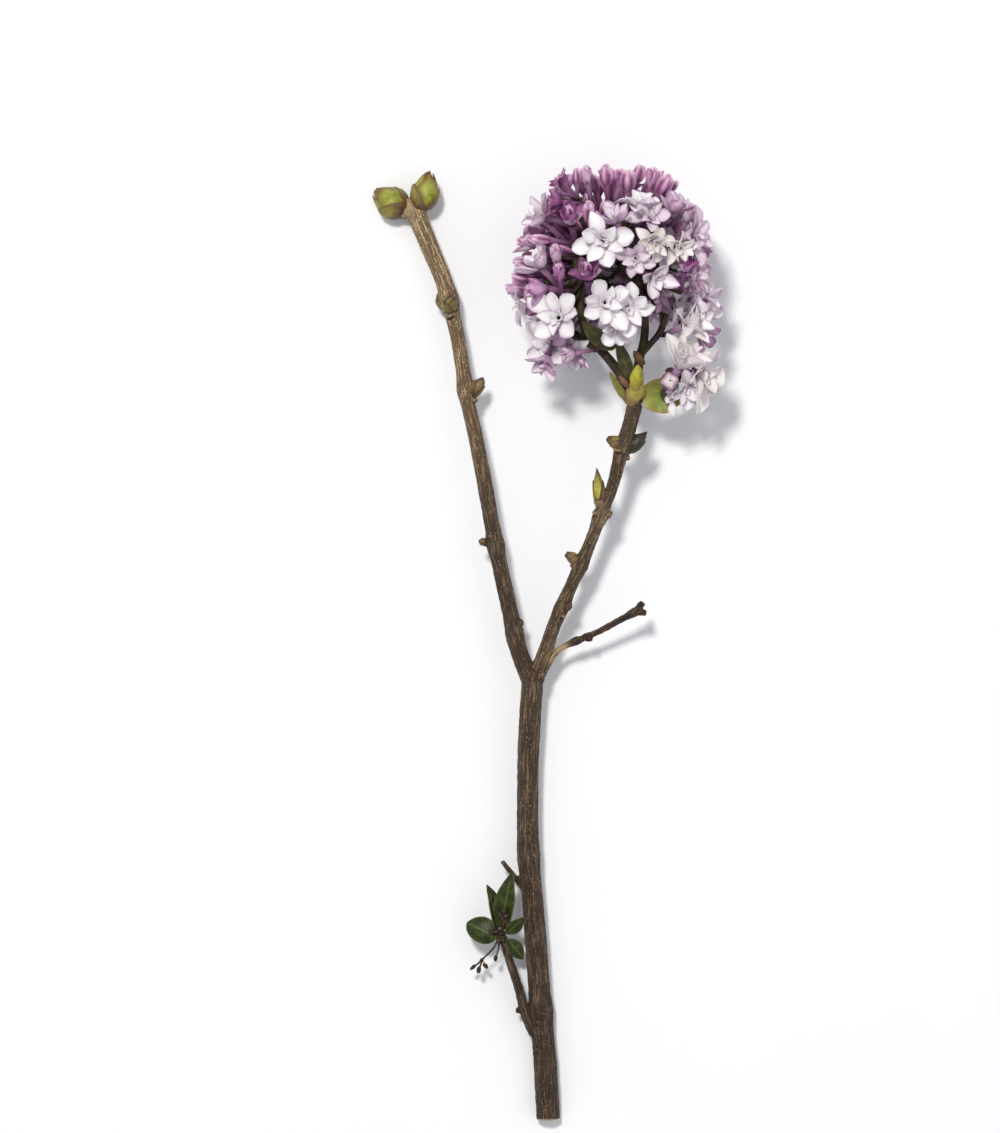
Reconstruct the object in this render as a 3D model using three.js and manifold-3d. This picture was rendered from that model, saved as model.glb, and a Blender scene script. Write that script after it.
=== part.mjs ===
// A cut lilac stem lying on a surface: a forked woody stem with buds, one open double-flowered
// bloom with its side spray, and a small leafy side shoot. Millimetres, +Z up.
// The stem runs along +Y from its cut end, and the bloom lies at its far right.
import * as THREE from "three";
import { mergeVertices } from "three/addons/utils/BufferGeometryUtils.js";
import Module from "manifold-3d";

const wasm = await Module();
wasm.setup();

// ---------------------------------------------------------------- driving dimensions
const CUT_END = [1.5, -190.2]; // where the cut end's centre lies, from the middle of the whole part
const CLEARANCE = 0.35; // gap between a piece and the piece it grows from
const TRUNK_D = 9.4; // at the cut end
const FORK_D = 8.6;
const RIGHT_D = [6.4, 5.2, 4.9, 6.2]; // right branch: at the fork, at a third, at two thirds, at the bloom
const LEFT_D = [7.0, 6.2, 5.8, 7.6]; // left branch: at the fork, at a third, at two thirds, at the buds
const TWIG_D = 2.5;
const SHOOT_D = 3.2;

const HEAD = new THREE.Vector3(25.1, 337.7, 36.2); // middle of the bloom
const HEAD_R = new THREE.Vector3(36.5, 36.5, 33.5); // to the mouths of the open florets
const CORE_R = [16, 19, 14]; // the packed stalks inside the bloom
const SPRAY_CORE_R = [4.5, 4, 4];
const TUBE_L = 24; // floret's tube and stalk, down into the core
const TUBE_R = 1.35; // at the floret's mouth
const STALK_R = 0.75; // at its root
const BUD_R = 2.9; // closed floret's head
const BUD_L = 6.8;
const PETAL_THICK = 0.75;
const FLORET_R = 9; // open floret, middle to petal tip
const INNER_SHARE = 0.5; // inner petals' cup, against the outer ring

const BUD_BELOW = 0.3; // a floret's openness runs from 0, a closed bud, to 1, an open double one
const OPEN_FROM = 0.65;
const TOP_TILT = 0.35; // how far the upper florets turn up from the bloom's surface
const HEAD_UNEVEN = 0.1; // share of the bloom's radius by which some florets stand lower
const LEAF_THICK = 0.7;

const BACK_POINTS = 106; // evenly spread directions that the sides and back of the bloom draw from
const BACK_SPACING = 11; // least distance of such a floret from the ones placed by hand
const STALK_WAY = new THREE.Vector3(0.12, -1, -0.1).normalize(); // from the bloom's middle to its stalk
const STALK_OPENING = 40; // degrees round that direction without florets

// ---------------------------------------------------------------- colours
const finish = (color, roughness) =>
  new THREE.MeshStandardMaterial({ color, roughness, metalness: 0 });
const BARK = finish(0x8b7355, 0.85);
const BUD_GREEN = finish(0x8a9438, 0.55);
const SCALE_GREEN = finish(0xa9ad3c, 0.5);
const LEAF_GREEN = finish(0x3f5a22, 0.5);
const PETAL = finish(0xd9c3e0, 0.55);

// ---------------------------------------------------------------- geometry helpers
const v3 = (p) => new THREE.Vector3(...p);
const radians = THREE.MathUtils.degToRad;

function solidOf(geometry) {
  const bare = geometry.clone();
  bare.deleteAttribute("normal");
  bare.deleteAttribute("uv");
  const merged = mergeVertices(bare, 1e-4);
  const mesh = new wasm.Mesh({
    numProp: 3,
    vertProperties: merged.attributes.position.array,
    triVerts: new Uint32Array(merged.index.array),
  });
  return new wasm.Manifold(mesh);
}

function geometryOf(solid) {
  const mesh = solid.getMesh();
  return new THREE.BufferGeometry()
    .setAttribute("position", new THREE.BufferAttribute(mesh.vertProperties, 3))
    .setIndex(new THREE.BufferAttribute(mesh.triVerts, 1));
}

const join = (solids) => solids.reduce((sum, s) => sum.add(s));
const largestBody = (solid) =>
  solid.decompose().reduce((a, b) => (a.volume() > b.volume() ? a : b));

// Turns local +Z to a direction, with local +X as near as it can be to `side`.
function frameTo(origin, direction, side = new THREE.Vector3(1, 0, 0)) {
  const z = direction.clone().normalize();
  const x = side.clone().addScaledVector(z, -side.dot(z)).normalize();
  if (x.lengthSq() < 0.5) x.set(0, 1, 0).addScaledVector(z, -z.y).normalize();
  const y = new THREE.Vector3().crossVectors(z, x);
  return new THREE.Matrix4().makeBasis(x, y, z).setPosition(origin);
}

const smooth = (t) => t * t * (3 - 2 * t);
function alongList(values, t) {
  const at = Math.min(t * (values.length - 1), values.length - 1 - 1e-9);
  const i = Math.floor(at);
  return THREE.MathUtils.lerp(values[i], values[i + 1], smooth(at - i));
}

// A closed cylinder bent along a route, its radius a function of the share of the length.
function taperedTube(points, radiusAt, sides, steps) {
  const route = new THREE.CatmullRomCurve3(points.map(v3), false, "centripetal");
  const frames = route.computeFrenetFrames(steps, false);
  const tube = new THREE.CylinderGeometry(1, 1, 1, sides, steps);
  const place = tube.attributes.position;
  for (let i = 0; i < place.count; i++) {
    const step = Math.round((0.5 - place.getY(i)) * steps);
    const radius = radiusAt(step / steps);
    const at = route.getPointAt(step / steps);
    at.addScaledVector(frames.normals[step], place.getX(i) * radius);
    at.addScaledVector(frames.binormals[step], place.getZ(i) * radius);
    place.setXYZ(i, at.x, at.y, at.z);
  }
  return outward(tube);
}

// The bent cylinder may have been turned inside out; a closed solid says so by its volume.
function outward(geometry) {
  if (solidOf(geometry).volume() > 0) return geometry;
  const index = geometry.index.array;
  for (let i = 0; i < index.length; i += 3) [index[i], index[i + 1]] = [index[i + 1], index[i]];
  return geometry;
}

// A thin blade over surface(across -1..1, along 0..1), split into the same triangles on both faces.
function blade(surface, cellsAcross, cellsAlong, thickness) {
  const rows = cellsAlong + 1;
  const columns = cellsAcross + 1;
  const mid = [];
  for (let j = 0; j < rows; j++)
    for (let i = 0; i < columns; i++) mid.push(surface((2 * i) / cellsAcross - 1, j / cellsAlong));
  const at = (i, j) =>
    mid[THREE.MathUtils.clamp(j, 0, rows - 1) * columns + THREE.MathUtils.clamp(i, 0, columns - 1)];
  const front = [];
  const back = [];
  for (let j = 0; j < rows; j++)
    for (let i = 0; i < columns; i++) {
      const across = at(i + 1, j).clone().sub(at(i - 1, j));
      const along = at(i, j + 1).clone().sub(at(i, j - 1));
      const normal = across.cross(along).normalize().multiplyScalar(thickness / 2);
      front.push(at(i, j).clone().add(normal));
      back.push(at(i, j).clone().sub(normal));
    }
  const id = (i, j) => j * columns + i;
  const offset = front.length;
  const index = [];
  const quad = (a, b, c, d) => index.push(a, b, c, a, c, d);
  for (let j = 0; j < cellsAlong; j++)
    for (let i = 0; i < cellsAcross; i++) {
      const corners = [id(i, j), id(i + 1, j), id(i + 1, j + 1), id(i, j + 1)];
      quad(...corners);
      index.push(...[0, 2, 1, 0, 3, 2].map((k) => corners[k] + offset));
    }
  const rim = [];
  for (let i = 0; i < cellsAcross; i++) rim.push([id(i, 0), id(i + 1, 0)]);
  for (let j = 0; j < cellsAlong; j++) rim.push([id(cellsAcross, j), id(cellsAcross, j + 1)]);
  for (let i = cellsAcross; i > 0; i--) rim.push([id(i, cellsAlong), id(i - 1, cellsAlong)]);
  for (let j = cellsAlong; j > 0; j--) rim.push([id(0, j), id(0, j - 1)]);
  for (const [a, b] of rim) quad(a, a + offset, b + offset, b);
  return new THREE.BufferGeometry().setFromPoints([...front, ...back]).setIndex(index);
}

// ---------------------------------------------------------------- woody stem
// Routes are from the cut end, [x, y, z].
const TRUNK = [
  [0, 0, 4.3], [-1.1, 21.3, 5.3], [-2.9, 43.8, 6.4], [-4.7, 67.8, 7.6], [-6.1, 85.8, 8.6],
  [-7.9, 107.8, 9.8], [-8.1, 135.7, 11.3], [-7.3, 159.6, 12.6], [-6.3, 175.5, 13.6],
];
const RIGHT_BRANCH = [
  [-6.9, 168, 13.0], [-5.7, 174.8, 13.6], [-2.1, 184.7, 15], [2.2, 197, 18], [6.5, 207.3, 20],
  [11.6, 218.8, 22.5], [15.6, 227.9, 24], [20.3, 240.1, 26], [25, 251.6, 28], [28.3, 264.5, 30],
  [31.8, 275.9, 32], [33.9, 284.5, 33],
];
const LEFT_BRANCH = [
  [-6.9, 168, 13.0], [-7.2, 174.5, 13.4], [-9.7, 181.5, 13.8], [-12.2, 188.6, 14.2],
  [-15, 201.7, 14.8], [-18.8, 218.8, 15.4], [-22.4, 237.1, 15.8], [-25.5, 254.9, 15.8],
  [-29.1, 272.8, 15.2], [-32.1, 286.7, 14.5], [-35.7, 309.8, 12.8], [-39.1, 325, 11.4],
  [-42.3, 336.2, 10.4], [-47.9, 349.4, 9], [-51.9, 359.4, 8], [-54.3, 364.3, 7.4],
];
const TWIG = [
  [-5.3, 171.5, 13.4], [-0.9, 180.3, 15], [3, 186.7, 16], [7.4, 189.5, 16.6],
  [17.7, 193.8, 18.4], [26.7, 198.6, 20.4], [33.4, 202.2, 22], [36.2, 203.8, 22.6],
];
const SHOOT = [
  [-5.6, 34, 6.4], [-8.8, 41.5, 8], [-11.6, 52, 9.5], [-14.8, 62.1, 11], [-17.2, 69.7, 12],
  [-18.8, 74.6, 12.6],
];
// Short outgrowths: from, to, radius at the root, radius at the end.
const OUTGROWTHS = {
  spur: { from: [-6.6, 88.5, 8.8], to: [-18.4, 103.4, 11], root: 1.6, end: 0.9 },
  lowStub: { from: [-4, 43, 6.6], to: [-10.8, 43.8, 9], root: 1.7, end: 1.2 },
  leftBranchStub: { from: [-21.6, 229.5, 15.6], to: [-26.4, 230.4, 17], root: 1.8, end: 1.5 },
  leftBranchBump: { from: [-14, 197.5, 14.6], to: [-10.4, 198.4, 16.4], root: 1.7, end: 1.4 },
  twigUpperKnob: { from: [34.6, 202.9, 22.2], to: [37.4, 206.4, 23], root: 1.6, end: 1.3 },
  twigSideKnob: { from: [34.6, 202.9, 22.2], to: [38.6, 202.2, 22.6], root: 1.6, end: 1.2 },
  twigFirstNode: { from: [15.4, 194.4, 18], to: [16.4, 191, 18], root: 1.6, end: 1.4 },
  rightBranchStub: { from: [20, 240.6, 26], to: [23.8, 241.2, 27.2], root: 1.9, end: 1.7 },
  budScarAtFork: { from: [-6.2, 170, 13.4], to: [-2.6, 176.6, 17], root: 2, end: 1.5 },
};
// Node swellings: share of the branch's length, extra radius, half length as a share.
const swell = (nodes, t) =>
  nodes.reduce((sum, [at, extra, reach]) => sum + extra * Math.exp(-(((t - at) / reach) ** 2)), 0);
const TRUNK_NODES = [[0.25, 0.5, 0.03], [0.6, 0.45, 0.03]];
const RIGHT_NODES = [[0.31, 0.5, 0.035], [0.46, 0.6, 0.03], [0.63, 0.8, 0.03], [0.86, 0.7, 0.03]];
const LEFT_NODES = [[0.13, 0.5, 0.02], [0.31, 0.7, 0.02], [0.62, 0.8, 0.02], [0.8, 0.9, 0.02]];
const TWIG_NODES = [[0.48, 0.6, 0.04], [0.95, 0.5, 0.05]];

// The wood, with every radius `grow` larger: a clearance cutter for what grows on it.
function wood(grow = 0) {
  const radius = (diameters, nodes) => (t) => alongList(diameters, t) / 2 + swell(nodes, t) + grow;
  const tubes = [
    taperedTube(TRUNK, radius([TRUNK_D, FORK_D, FORK_D], TRUNK_NODES), 10, 14),
    taperedTube(RIGHT_BRANCH, radius(RIGHT_D, RIGHT_NODES), 8, 24),
    taperedTube(LEFT_BRANCH, radius(LEFT_D, LEFT_NODES), 8, 32),
    taperedTube(TWIG, radius([TWIG_D, TWIG_D, TWIG_D * 1.1], TWIG_NODES), 6, 14),
    taperedTube(SHOOT, radius([SHOOT_D * 1.2, SHOOT_D], []), 6, 5),
  ];
  for (const { from, to, root, end } of Object.values(OUTGROWTHS))
    tubes.push(taperedTube([from, to], (t) => root + (end - root) * t + grow, 5, 1));
  return join(tubes.map(solidOf));
}

// ---------------------------------------------------------------- buds
// A bud in overlapping scales: pairs of pointed ovoids leaning out from the axis, each pair
// crosswise to the last and shorter than it.
function scaleOvoid(length, radius, sides) {
  const profile = [[0, 0], [0.78, 0.16], [1, 0.42], [0.62, 0.76], [0, 1]];
  return turned(profile.map(([r, z]) => [r * radius, z * length]), sides);
}

function bud({ base, tip, radius, pairs = 1 }) {
  const axis = v3(tip).sub(v3(base));
  const stand = frameTo(v3(base), axis);
  const scales = [];
  for (let pair = 0; pair < pairs; pair++)
    for (const turn of [0, 180]) {
      const scale = scaleOvoid(axis.length() * (1 - 0.27 * pair), radius * (0.8 - 0.03 * pair), 5);
      scale.rotateY(radians(5 + 3 * pair)).translate(radius * (0.14 + 0.12 * pair), 0, 0);
      scale.rotateZ(radians(turn + 90 * pair)).applyMatrix4(stand);
      scales.push(solidOf(scale));
    }
  return join(scales);
}

const BUDS = {
  terminal_bud_left: { base: [-57, 361.4, 7], tip: [-70.4, 369, 5.6], radius: 6.2, pairs: 3 },
  terminal_bud_right: { base: [-50.2, 363.2, 9.4], tip: [-45.8, 379.2, 13], radius: 5.3, pairs: 3 },
  left_branch_high_bud: { base: [-39.6, 322.8, 13.4], tip: [-38.4, 327.6, 19.6], radius: 3.2, pairs: 2 },
  left_branch_high_bud_behind: { base: [-40.4, 323.6, 10], tip: [-44.4, 329, 8], radius: 2.5 },
  left_branch_mid_bud: { base: [-30.6, 288.6, 14.8], tip: [-25.5, 295.6, 17], radius: 2.6 },
  right_branch_high_bud_left: { base: [29, 268, 31], tip: [22.8, 271.4, 31.5], radius: 2.5 },
  right_branch_high_bud_right: { base: [31, 266.2, 30], tip: [38.9, 273.7, 31.5], radius: 2.9 },
  right_branch_mid_bud: { base: [20.6, 243.4, 27], tip: [18.9, 259.3, 30], radius: 2.4 },
  right_branch_low_bud: { base: [11.8, 222.4, 22.8], tip: [6.7, 226, 25], radius: 2.2 },
  right_branch_red_bud: { base: [5.4, 203.4, 21], tip: [8.2, 206.6, 25.6], radius: 1.9 },
};

// ---------------------------------------------------------------- leaves and scales
// A leaf from base to tip: `face` is the way its upper side looks, `widest` the share of the
// length where it is widest, `cup` and `fold` how far its edges rise, `arch` how far its middle
// does, all in millimetres.
function leafSurface({ base, tip, width, face, widest = 0.42, cup = 0, fold = 0, arch = 0, foot = 0.25 }) {
  const start = v3(base);
  const axis = v3(tip).sub(start);
  const up = v3(face).normalize();
  const across = new THREE.Vector3().crossVectors(axis, up).normalize();
  const rise = new THREE.Vector3().crossVectors(across, axis).normalize();
  const half = (t) => {
    const bulge = Math.sin(Math.PI * t ** (Math.log(0.5) / Math.log(widest))) ** 0.8;
    return (width / 2) * Math.max(bulge, foot * (1 - t), 0.07);
  };
  return (s, t) => {
    const lift = cup * s * s + fold * Math.abs(s) + arch * Math.sin(Math.PI * t);
    return start.clone().addScaledVector(axis, t)
      .addScaledVector(across, s * half(t))
      .addScaledVector(rise, lift * Math.min(1, 3 * t + 0.2));
  };
}

const leaf = (shape, thickness = LEAF_THICK) =>
  solidOf(outward(blade(leafSurface(shape), 2, 5, thickness)));

const BLOOM_SCALES = {
  scale_front_low: {
    base: [31.6, 284.6, 36.4], tip: [36.2, 293, 41],
    width: 8, face: [-0.1, -0.5, 1], widest: 0.55, cup: -2.2, foot: 0.8,
  },
  scale_front_high: {
    base: [34.2, 289.6, 40.6], tip: [33.8, 299.2, 43.4],
    width: 7, face: [0, -0.4, 1], widest: 0.4, cup: -1.8, arch: 1, foot: 0.8,
  },
  scale_left: {
    base: [30.6, 284.8, 33.5], tip: [24, 297, 34],
    width: 7, face: [-1, -0.4, 0.5], cup: -1.6, arch: 1, foot: 0.7,
  },
  scale_right: {
    base: [38.4, 285.4, 33.6], tip: [53.2, 291, 35.5],
    width: 15.5, face: [0.1, -0.35, 1], widest: 0.5, cup: 3.2, arch: -2, foot: 0.55,
  },
  scale_right_under: {
    base: [37.4, 284.6, 31.6], tip: [54.6, 284.8, 31.4],
    width: 8, face: [0.1, -0.8, 0.5], cup: -1.5, foot: 0.6,
  },
  scale_brown: {
    base: [36.6, 299.4, 40.6], tip: [32.4, 306.2, 45],
    width: 4.2, face: [-0.3, -0.3, 1], cup: -0.8, foot: 0.6,
  },
};

const BLOOM_LEAVES = {
  leaf_narrow: {
    base: [32.6, 293.6, 38.5], tip: [26.3, 310, 47],
    width: 5.4, face: [-0.2, -0.2, 1], fold: 1,
  },
  leaf_broad: {
    base: [25.6, 306, 41.4], tip: [12.6, 316.2, 49.5],
    width: 7.2, face: [-0.2, -0.3, 1], fold: 1.2, arch: 1,
  },
};

const SHOOT_LEAVES = {
  shoot_leaf_round: {
    base: [-20.6, 73.2, 12.6], tip: [-33.6, 77.8, 8.4],
    width: 11.6, face: [0.2, 0.2, 1], cup: 1.2, arch: 1.4,
  },
  shoot_leaf_folded: {
    base: [-20.6, 76.6, 13.6], tip: [-24.4, 94.2, 15],
    width: 8.6, face: [0.75, 0.2, 0.7], fold: 2.6,
  },
  shoot_leaf_long: {
    base: [-18.2, 77.2, 14.6], tip: [-14.2, 99.6, 19.5],
    width: 8.8, face: [-0.5, -0.2, 1], fold: 1.8, arch: 1,
  },
  shoot_leaf_right: {
    base: [-16.4, 75.4, 14.6], tip: [-9.6, 81.6, 18.2],
    width: 6, face: [0.2, -0.5, 1], fold: 1,
  },
  shoot_leaf_low: {
    base: [-16.4, 72.2, 13], tip: [-10, 64.2, 10],
    width: 6.4, face: [0.3, 0.2, 1], fold: 0.8, arch: 0.8,
  },
};

// ---------------------------------------------------------------- florets
function turned(profile, sides) {
  const points = profile.map(([r, z]) => new THREE.Vector2(r, z));
  return outward(new THREE.LatheGeometry(points, sides).rotateX(Math.PI / 2));
}

// A four-lobed ring of petals, raised by `lift` degrees. A lobe is a list of points, each a
// share of the radius and an angle from the lobe's middle.
const OPEN_LOBE = [[0.26, -45], [0.7, -29], [1, 0], [0.7, 29]];
const RAISED_LOBE = [[0.42, -45], [1, -15], [1, 15]];
function petalRing(lobe, radius, lift, turn) {
  const outline = new THREE.Shape();
  for (let k = 0; k < 4; k++)
    lobe.forEach(([share, angle], n) => {
      const a = radians(angle + 90 * k + turn);
      const point = [radius * share * Math.cos(a), radius * share * Math.sin(a)];
      if (k + n === 0) outline.moveTo(...point);
      else outline.lineTo(...point);
    });
  const slope = Math.tan(radians(lift));
  const depth = PETAL_THICK * Math.hypot(1, slope);
  const ring = new THREE.ExtrudeGeometry(outline, { depth, bevelEnabled: false });
  const place = ring.attributes.position;
  const throat = radius * lobe[0][0];
  for (let i = 0; i < place.count; i++)
    place.setZ(i, place.getZ(i) + slope * (Math.hypot(place.getX(i), place.getY(i)) - throat));
  return ring.scale(Math.cos(radians(lift)), Math.cos(radians(lift)), Math.cos(radians(lift)));
}

// Its mouth is at the origin and its stalk runs down -Z for `stalk` millimetres.
function floret(openness, size, stalk) {
  const radius = FLORET_R * size;
  const foot = [[0, -stalk], [STALK_R, -stalk], [TUBE_R, -0.4]];
  if (openness < BUD_BELOW) {
    const [r, head] = [BUD_R * size, BUD_L * size];
    return [turned([...foot, [r, head * 0.35], [r * 0.8, head * 0.7], [0, head]], 4)];
  }
  if (openness < OPEN_FROM) {
    const heart = turned([...foot, [BUD_R * 0.8, BUD_L * 0.4], [0, BUD_L * 0.9]], 4);
    return [heart, petalRing(RAISED_LOBE, radius * 0.95, 56, 45)];
  }
  const inner = radius * INNER_SHARE;
  const heart = turned([...foot, [inner, inner * 0.8], [0, inner * 0.3]], 4);
  return [heart, petalRing(OPEN_LOBE, radius, 36 - 22 * openness, 45)];
}

function placeFloret(mouth, facing, openness, size, stalk, turn) {
  const side = new THREE.Vector3(Math.cos(turn), Math.sin(turn), 0.3);
  const stand = frameTo(mouth, facing, side);
  return floret(openness, size, stalk).map((g) => solidOf(g.applyMatrix4(stand)));
}

// An even scatter in 0..1 that is the same on every run.
const spread = (i, k) => {
  const x = Math.sin(i * 12.9898 + k * 78.233) * 43758.5453;
  return x - Math.floor(x);
};

// ---------------------------------------------------------------- bloom
// The florets seen from above: across and along from the head's middle, openness, size.
const TOP_FLORETS = [
  [-22.1, -20, 1, 0.95], [-3.8, 11.5, 1, 1.05], [-3.1, -13, 1, 0.95], [5.5, -21.5, 0.9, 0.85],
  [12.6, -12.6, 0.9, 0.85], [17.2, -1, 0.7, 0.9], [11.3, 24.7, 0.95, 0.95], [1.1, 23.6, 0.6, 0.75],
  [14.4, 12.4, 1, 0.8], [24.6, 10.4, 1, 0.8], [7.2, 2.4, 0.8, 0.8], [27.4, -21.8, 0.95, 1],
  [34.1, -7.2, 0.7, 0.9], [35.2, 8.2, 0.6, 0.9], [-22.1, -30.9, 0.95, 0.95],
  [-31.4, -15.8, 0.9, 0.95], [22, 28.6, 0.5, 0.85], [-26.3, 22, 0.5, 0.9], [-29.6, 13.2, 0.55, 0.85],
  [-32, 4, 0.5, 0.9], [-34, -6.5, 0.4, 0.85], [-25.6, -6, 0.4, 0.8], [-9.6, -1, 0.4, 0.75],
  [-14.5, 22.6, 0.4, 0.75], [-11.3, 36, 0, 1], [-8.6, 23.4, 0, 1], [-22.5, 8.4, 0, 1],
  [-20.4, 0, 0, 0.95], [-2.3, 36.8, 0, 1.1], [4.2, 37.4, 0, 0.95], [8.4, 33.2, 0.35, 0.75],
  [15.8, 34.8, 0, 1.1], [27.4, 24.2, 0.35, 0.7], [-18.4, 31.5, 0.4, 0.75], [29.4, 0.8, 0, 1],
  [-13.6, 12.4, 0, 1], [4.8, -6, 0, 1], [18.8, 19.6, 0, 1], [-16, -10, 0.5, 0.9],
];

// Each floret of the bloom: the direction of its mouth from the bloom's middle, on a unit ball.
function bloomFlorets() {
  const byHand = TOP_FLORETS.map(([x, y, openness, size]) => {
    const flat = new THREE.Vector2(x / HEAD_R.x, y / HEAD_R.y);
    if (flat.length() > 0.98) flat.setLength(0.98);
    return { way: new THREE.Vector3(flat.x, flat.y, Math.sqrt(1 - flat.lengthSq())), openness, size };
  });
  const placed = [...byHand];
  const golden = Math.PI * (3 - Math.sqrt(5));
  for (let i = 0; i < BACK_POINTS; i++) {
    const z = 1 - (2 * i + 1) / BACK_POINTS;
    const ring = Math.sqrt(1 - z * z);
    const way = new THREE.Vector3(ring * Math.cos(i * golden), ring * Math.sin(i * golden), z);
    const taken = byHand.some((f) => f.way.clone().sub(way).multiply(HEAD_R).length() < BACK_SPACING);
    if (taken || way.angleTo(STALK_WAY) < radians(STALK_OPENING)) continue;
    const ripeness = 0.5 - 0.55 * way.y + 0.2 * way.x + 0.5 * (spread(i, 1) - 0.5);
    const openness = ripeness > 0.62 ? 1 : ripeness > 0.42 ? 0.5 : 0;
    way.multiplyScalar(1 - HEAD_UNEVEN * spread(i, 5));
    placed.push({ way, openness, size: 0.85 + 0.2 * spread(i, 2) });
  }
  return placed;
}

const LEFT_STALK = [
  [33.2, 287.6, 33.8], [31, 292, 34.6], [24.8, 300.5, 36], [18.1, 308.3, 38], [13.4, 315.7, 39],
  [12, 330, 39],
];
const RIGHT_STALK = [
  [34.4, 287.6, 33.8], [34.8, 295.8, 36], [35.7, 302.8, 38], [37.2, 309, 39.5], [37.6, 318, 40],
  [33, 332, 39],
];
// Side branches low on the stalks, out to the lowest florets.
const LOW_BRANCHES = [
  [[21, 305, 37], [12, 309.5, 37.5], [5, 313.5, 41]],
  [[36.3, 305, 38.4], [43.5, 312, 41], [46, 319, 45]],
  [[36.3, 304, 38.2], [43, 312, 33], [46, 320, 29]],
  [[19, 307, 37.6], [14, 310, 32], [8, 314.5, 27]],
];

function bloomStalks(grow = 0) {
  const stalks = [LEFT_STALK, RIGHT_STALK].map((route) =>
    taperedTube(route, (t) => 2.1 - 0.5 * t + grow, 6, 8));
  const branches = LOW_BRANCHES.map((route) =>
    taperedTube(route, (t) => 1.5 - 0.3 * t + grow, 5, 4));
  return join([...stalks, ...branches].map(solidOf));
}

function bloom() {
  const core = new THREE.IcosahedronGeometry(1, 1).scale(...CORE_R).translate(...HEAD);
  const pieces = [solidOf(core), bloomStalks()];
  bloomFlorets().forEach(({ way, openness, size }, i) => {
    const mouth = way.clone().multiply(HEAD_R).add(HEAD);
    const facing = way.clone().add(new THREE.Vector3(0, 0.15, TOP_TILT * Math.max(way.z, 0)));
    pieces.push(...placeFloret(mouth, facing, openness, size, TUBE_L, spread(i, 3) * 2 * Math.PI));
  });
  return join(pieces);
}

// ---------------------------------------------------------------- side spray
const SPRAY_STALK = [[37.2, 287.2, 37.4], [41.6, 289.9, 40.6], [46.6, 293.3, 42], [54.5, 296.1, 41]];
const SPRAY_MIDDLE = new THREE.Vector3(54.5, 296.1, 41);
// The spray's florets: where the mouth is, openness, size.
const SPRAY_FLORETS = [
  [[58, 299.6, 50.5], 1, 1.05], [[53.9, 289.2, 47], 0.8, 0.7], [[46.8, 292.6, 51], 0, 1.15],
  [[46.4, 287, 47], 0.9, 0.85], [[64.6, 297.5, 42], 0.9, 0.9], [[61.6, 290.2, 38], 0.5, 0.85],
  [[57.1, 304.7, 40], 0.5, 0.8], [[60.7, 297.2, 31], 0.9, 0.85], [[54, 303, 32], 0, 1],
];

function sideSpray() {
  const core = new THREE.IcosahedronGeometry(1, 1).scale(...SPRAY_CORE_R).translate(...SPRAY_MIDDLE);
  const pieces = [core, taperedTube(SPRAY_STALK, (t) => 1.5 - 0.3 * t, 6, 6)].map(solidOf);
  SPRAY_FLORETS.forEach(([at, openness, size], i) => {
    const mouth = v3(at);
    const facing = mouth.clone().sub(SPRAY_MIDDLE);
    const stalk = facing.length() - 1;
    pieces.push(...placeFloret(mouth, facing, openness, size, stalk, spread(i, 4) * 2 * Math.PI));
  });
  return join(pieces);
}

// ---------------------------------------------------------------- the whole stem
const stem = new THREE.Group();
stem.position.set(CUT_END[0], CUT_END[1], 0);

const SPACE = 1000;
const SLIVER = 0.03; // edges that cutting leaves shorter than this are drawn together
const aboveSurface = solidOf(new THREE.BoxGeometry(SPACE, SPACE, SPACE).translate(0, 0, SPACE / 2));

function addNode(name, solid, material) {
  const trimmed = largestBody(solid.intersect(aboveSurface)).simplify(SLIVER);
  const mesh = new THREE.Mesh(geometryOf(trimmed), material);
  mesh.name = name;
  stem.add(mesh);
}

const woodCut = wood(CLEARANCE);
const stalkCut = woodCut.add(bloomStalks(CLEARANCE));

addNode("woody_stem", wood(), BARK);
for (const [name, shape] of Object.entries(BUDS))
  addNode(name, bud(shape).subtract(woodCut), BUD_GREEN);
for (const [name, shape] of Object.entries(SHOOT_LEAVES))
  addNode(name, leaf(shape).subtract(woodCut), LEAF_GREEN);

// Each scale and leaf at the bloom's foot keeps clear of the ones before it, and the bloom of all.
const footCut = [];
const footPieces = { ...BLOOM_SCALES, ...BLOOM_LEAVES };
for (const [name, shape] of Object.entries(footPieces)) {
  const piece = footCut.reduce((left, cut) => left.subtract(cut), leaf(shape).subtract(stalkCut));
  addNode(name, piece, name in BLOOM_SCALES ? SCALE_GREEN : LEAF_GREEN);
  footCut.push(leaf(shape, LEAF_THICK + 2 * CLEARANCE));
}
const scaleCut = join(footCut);
addNode("bloom", bloom().subtract(woodCut).subtract(scaleCut), PETAL);
addNode("side_spray", sideSpray().subtract(stalkCut).subtract(scaleCut), PETAL);

const part = new THREE.Group();
part.name = "lilac_stem";
part.add(stem);
export default part;
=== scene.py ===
"""A cut lilac stem lying on a pale surface: forked woody stem, buds, one open double-flowered
bloom with its side spray, and a small leafy side shoot. Metres, +Z up, the stem along +Y."""

import math
import random

import bmesh
import bpy
import numpy as np
from mathutils import Matrix, Vector, kdtree, noise


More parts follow.
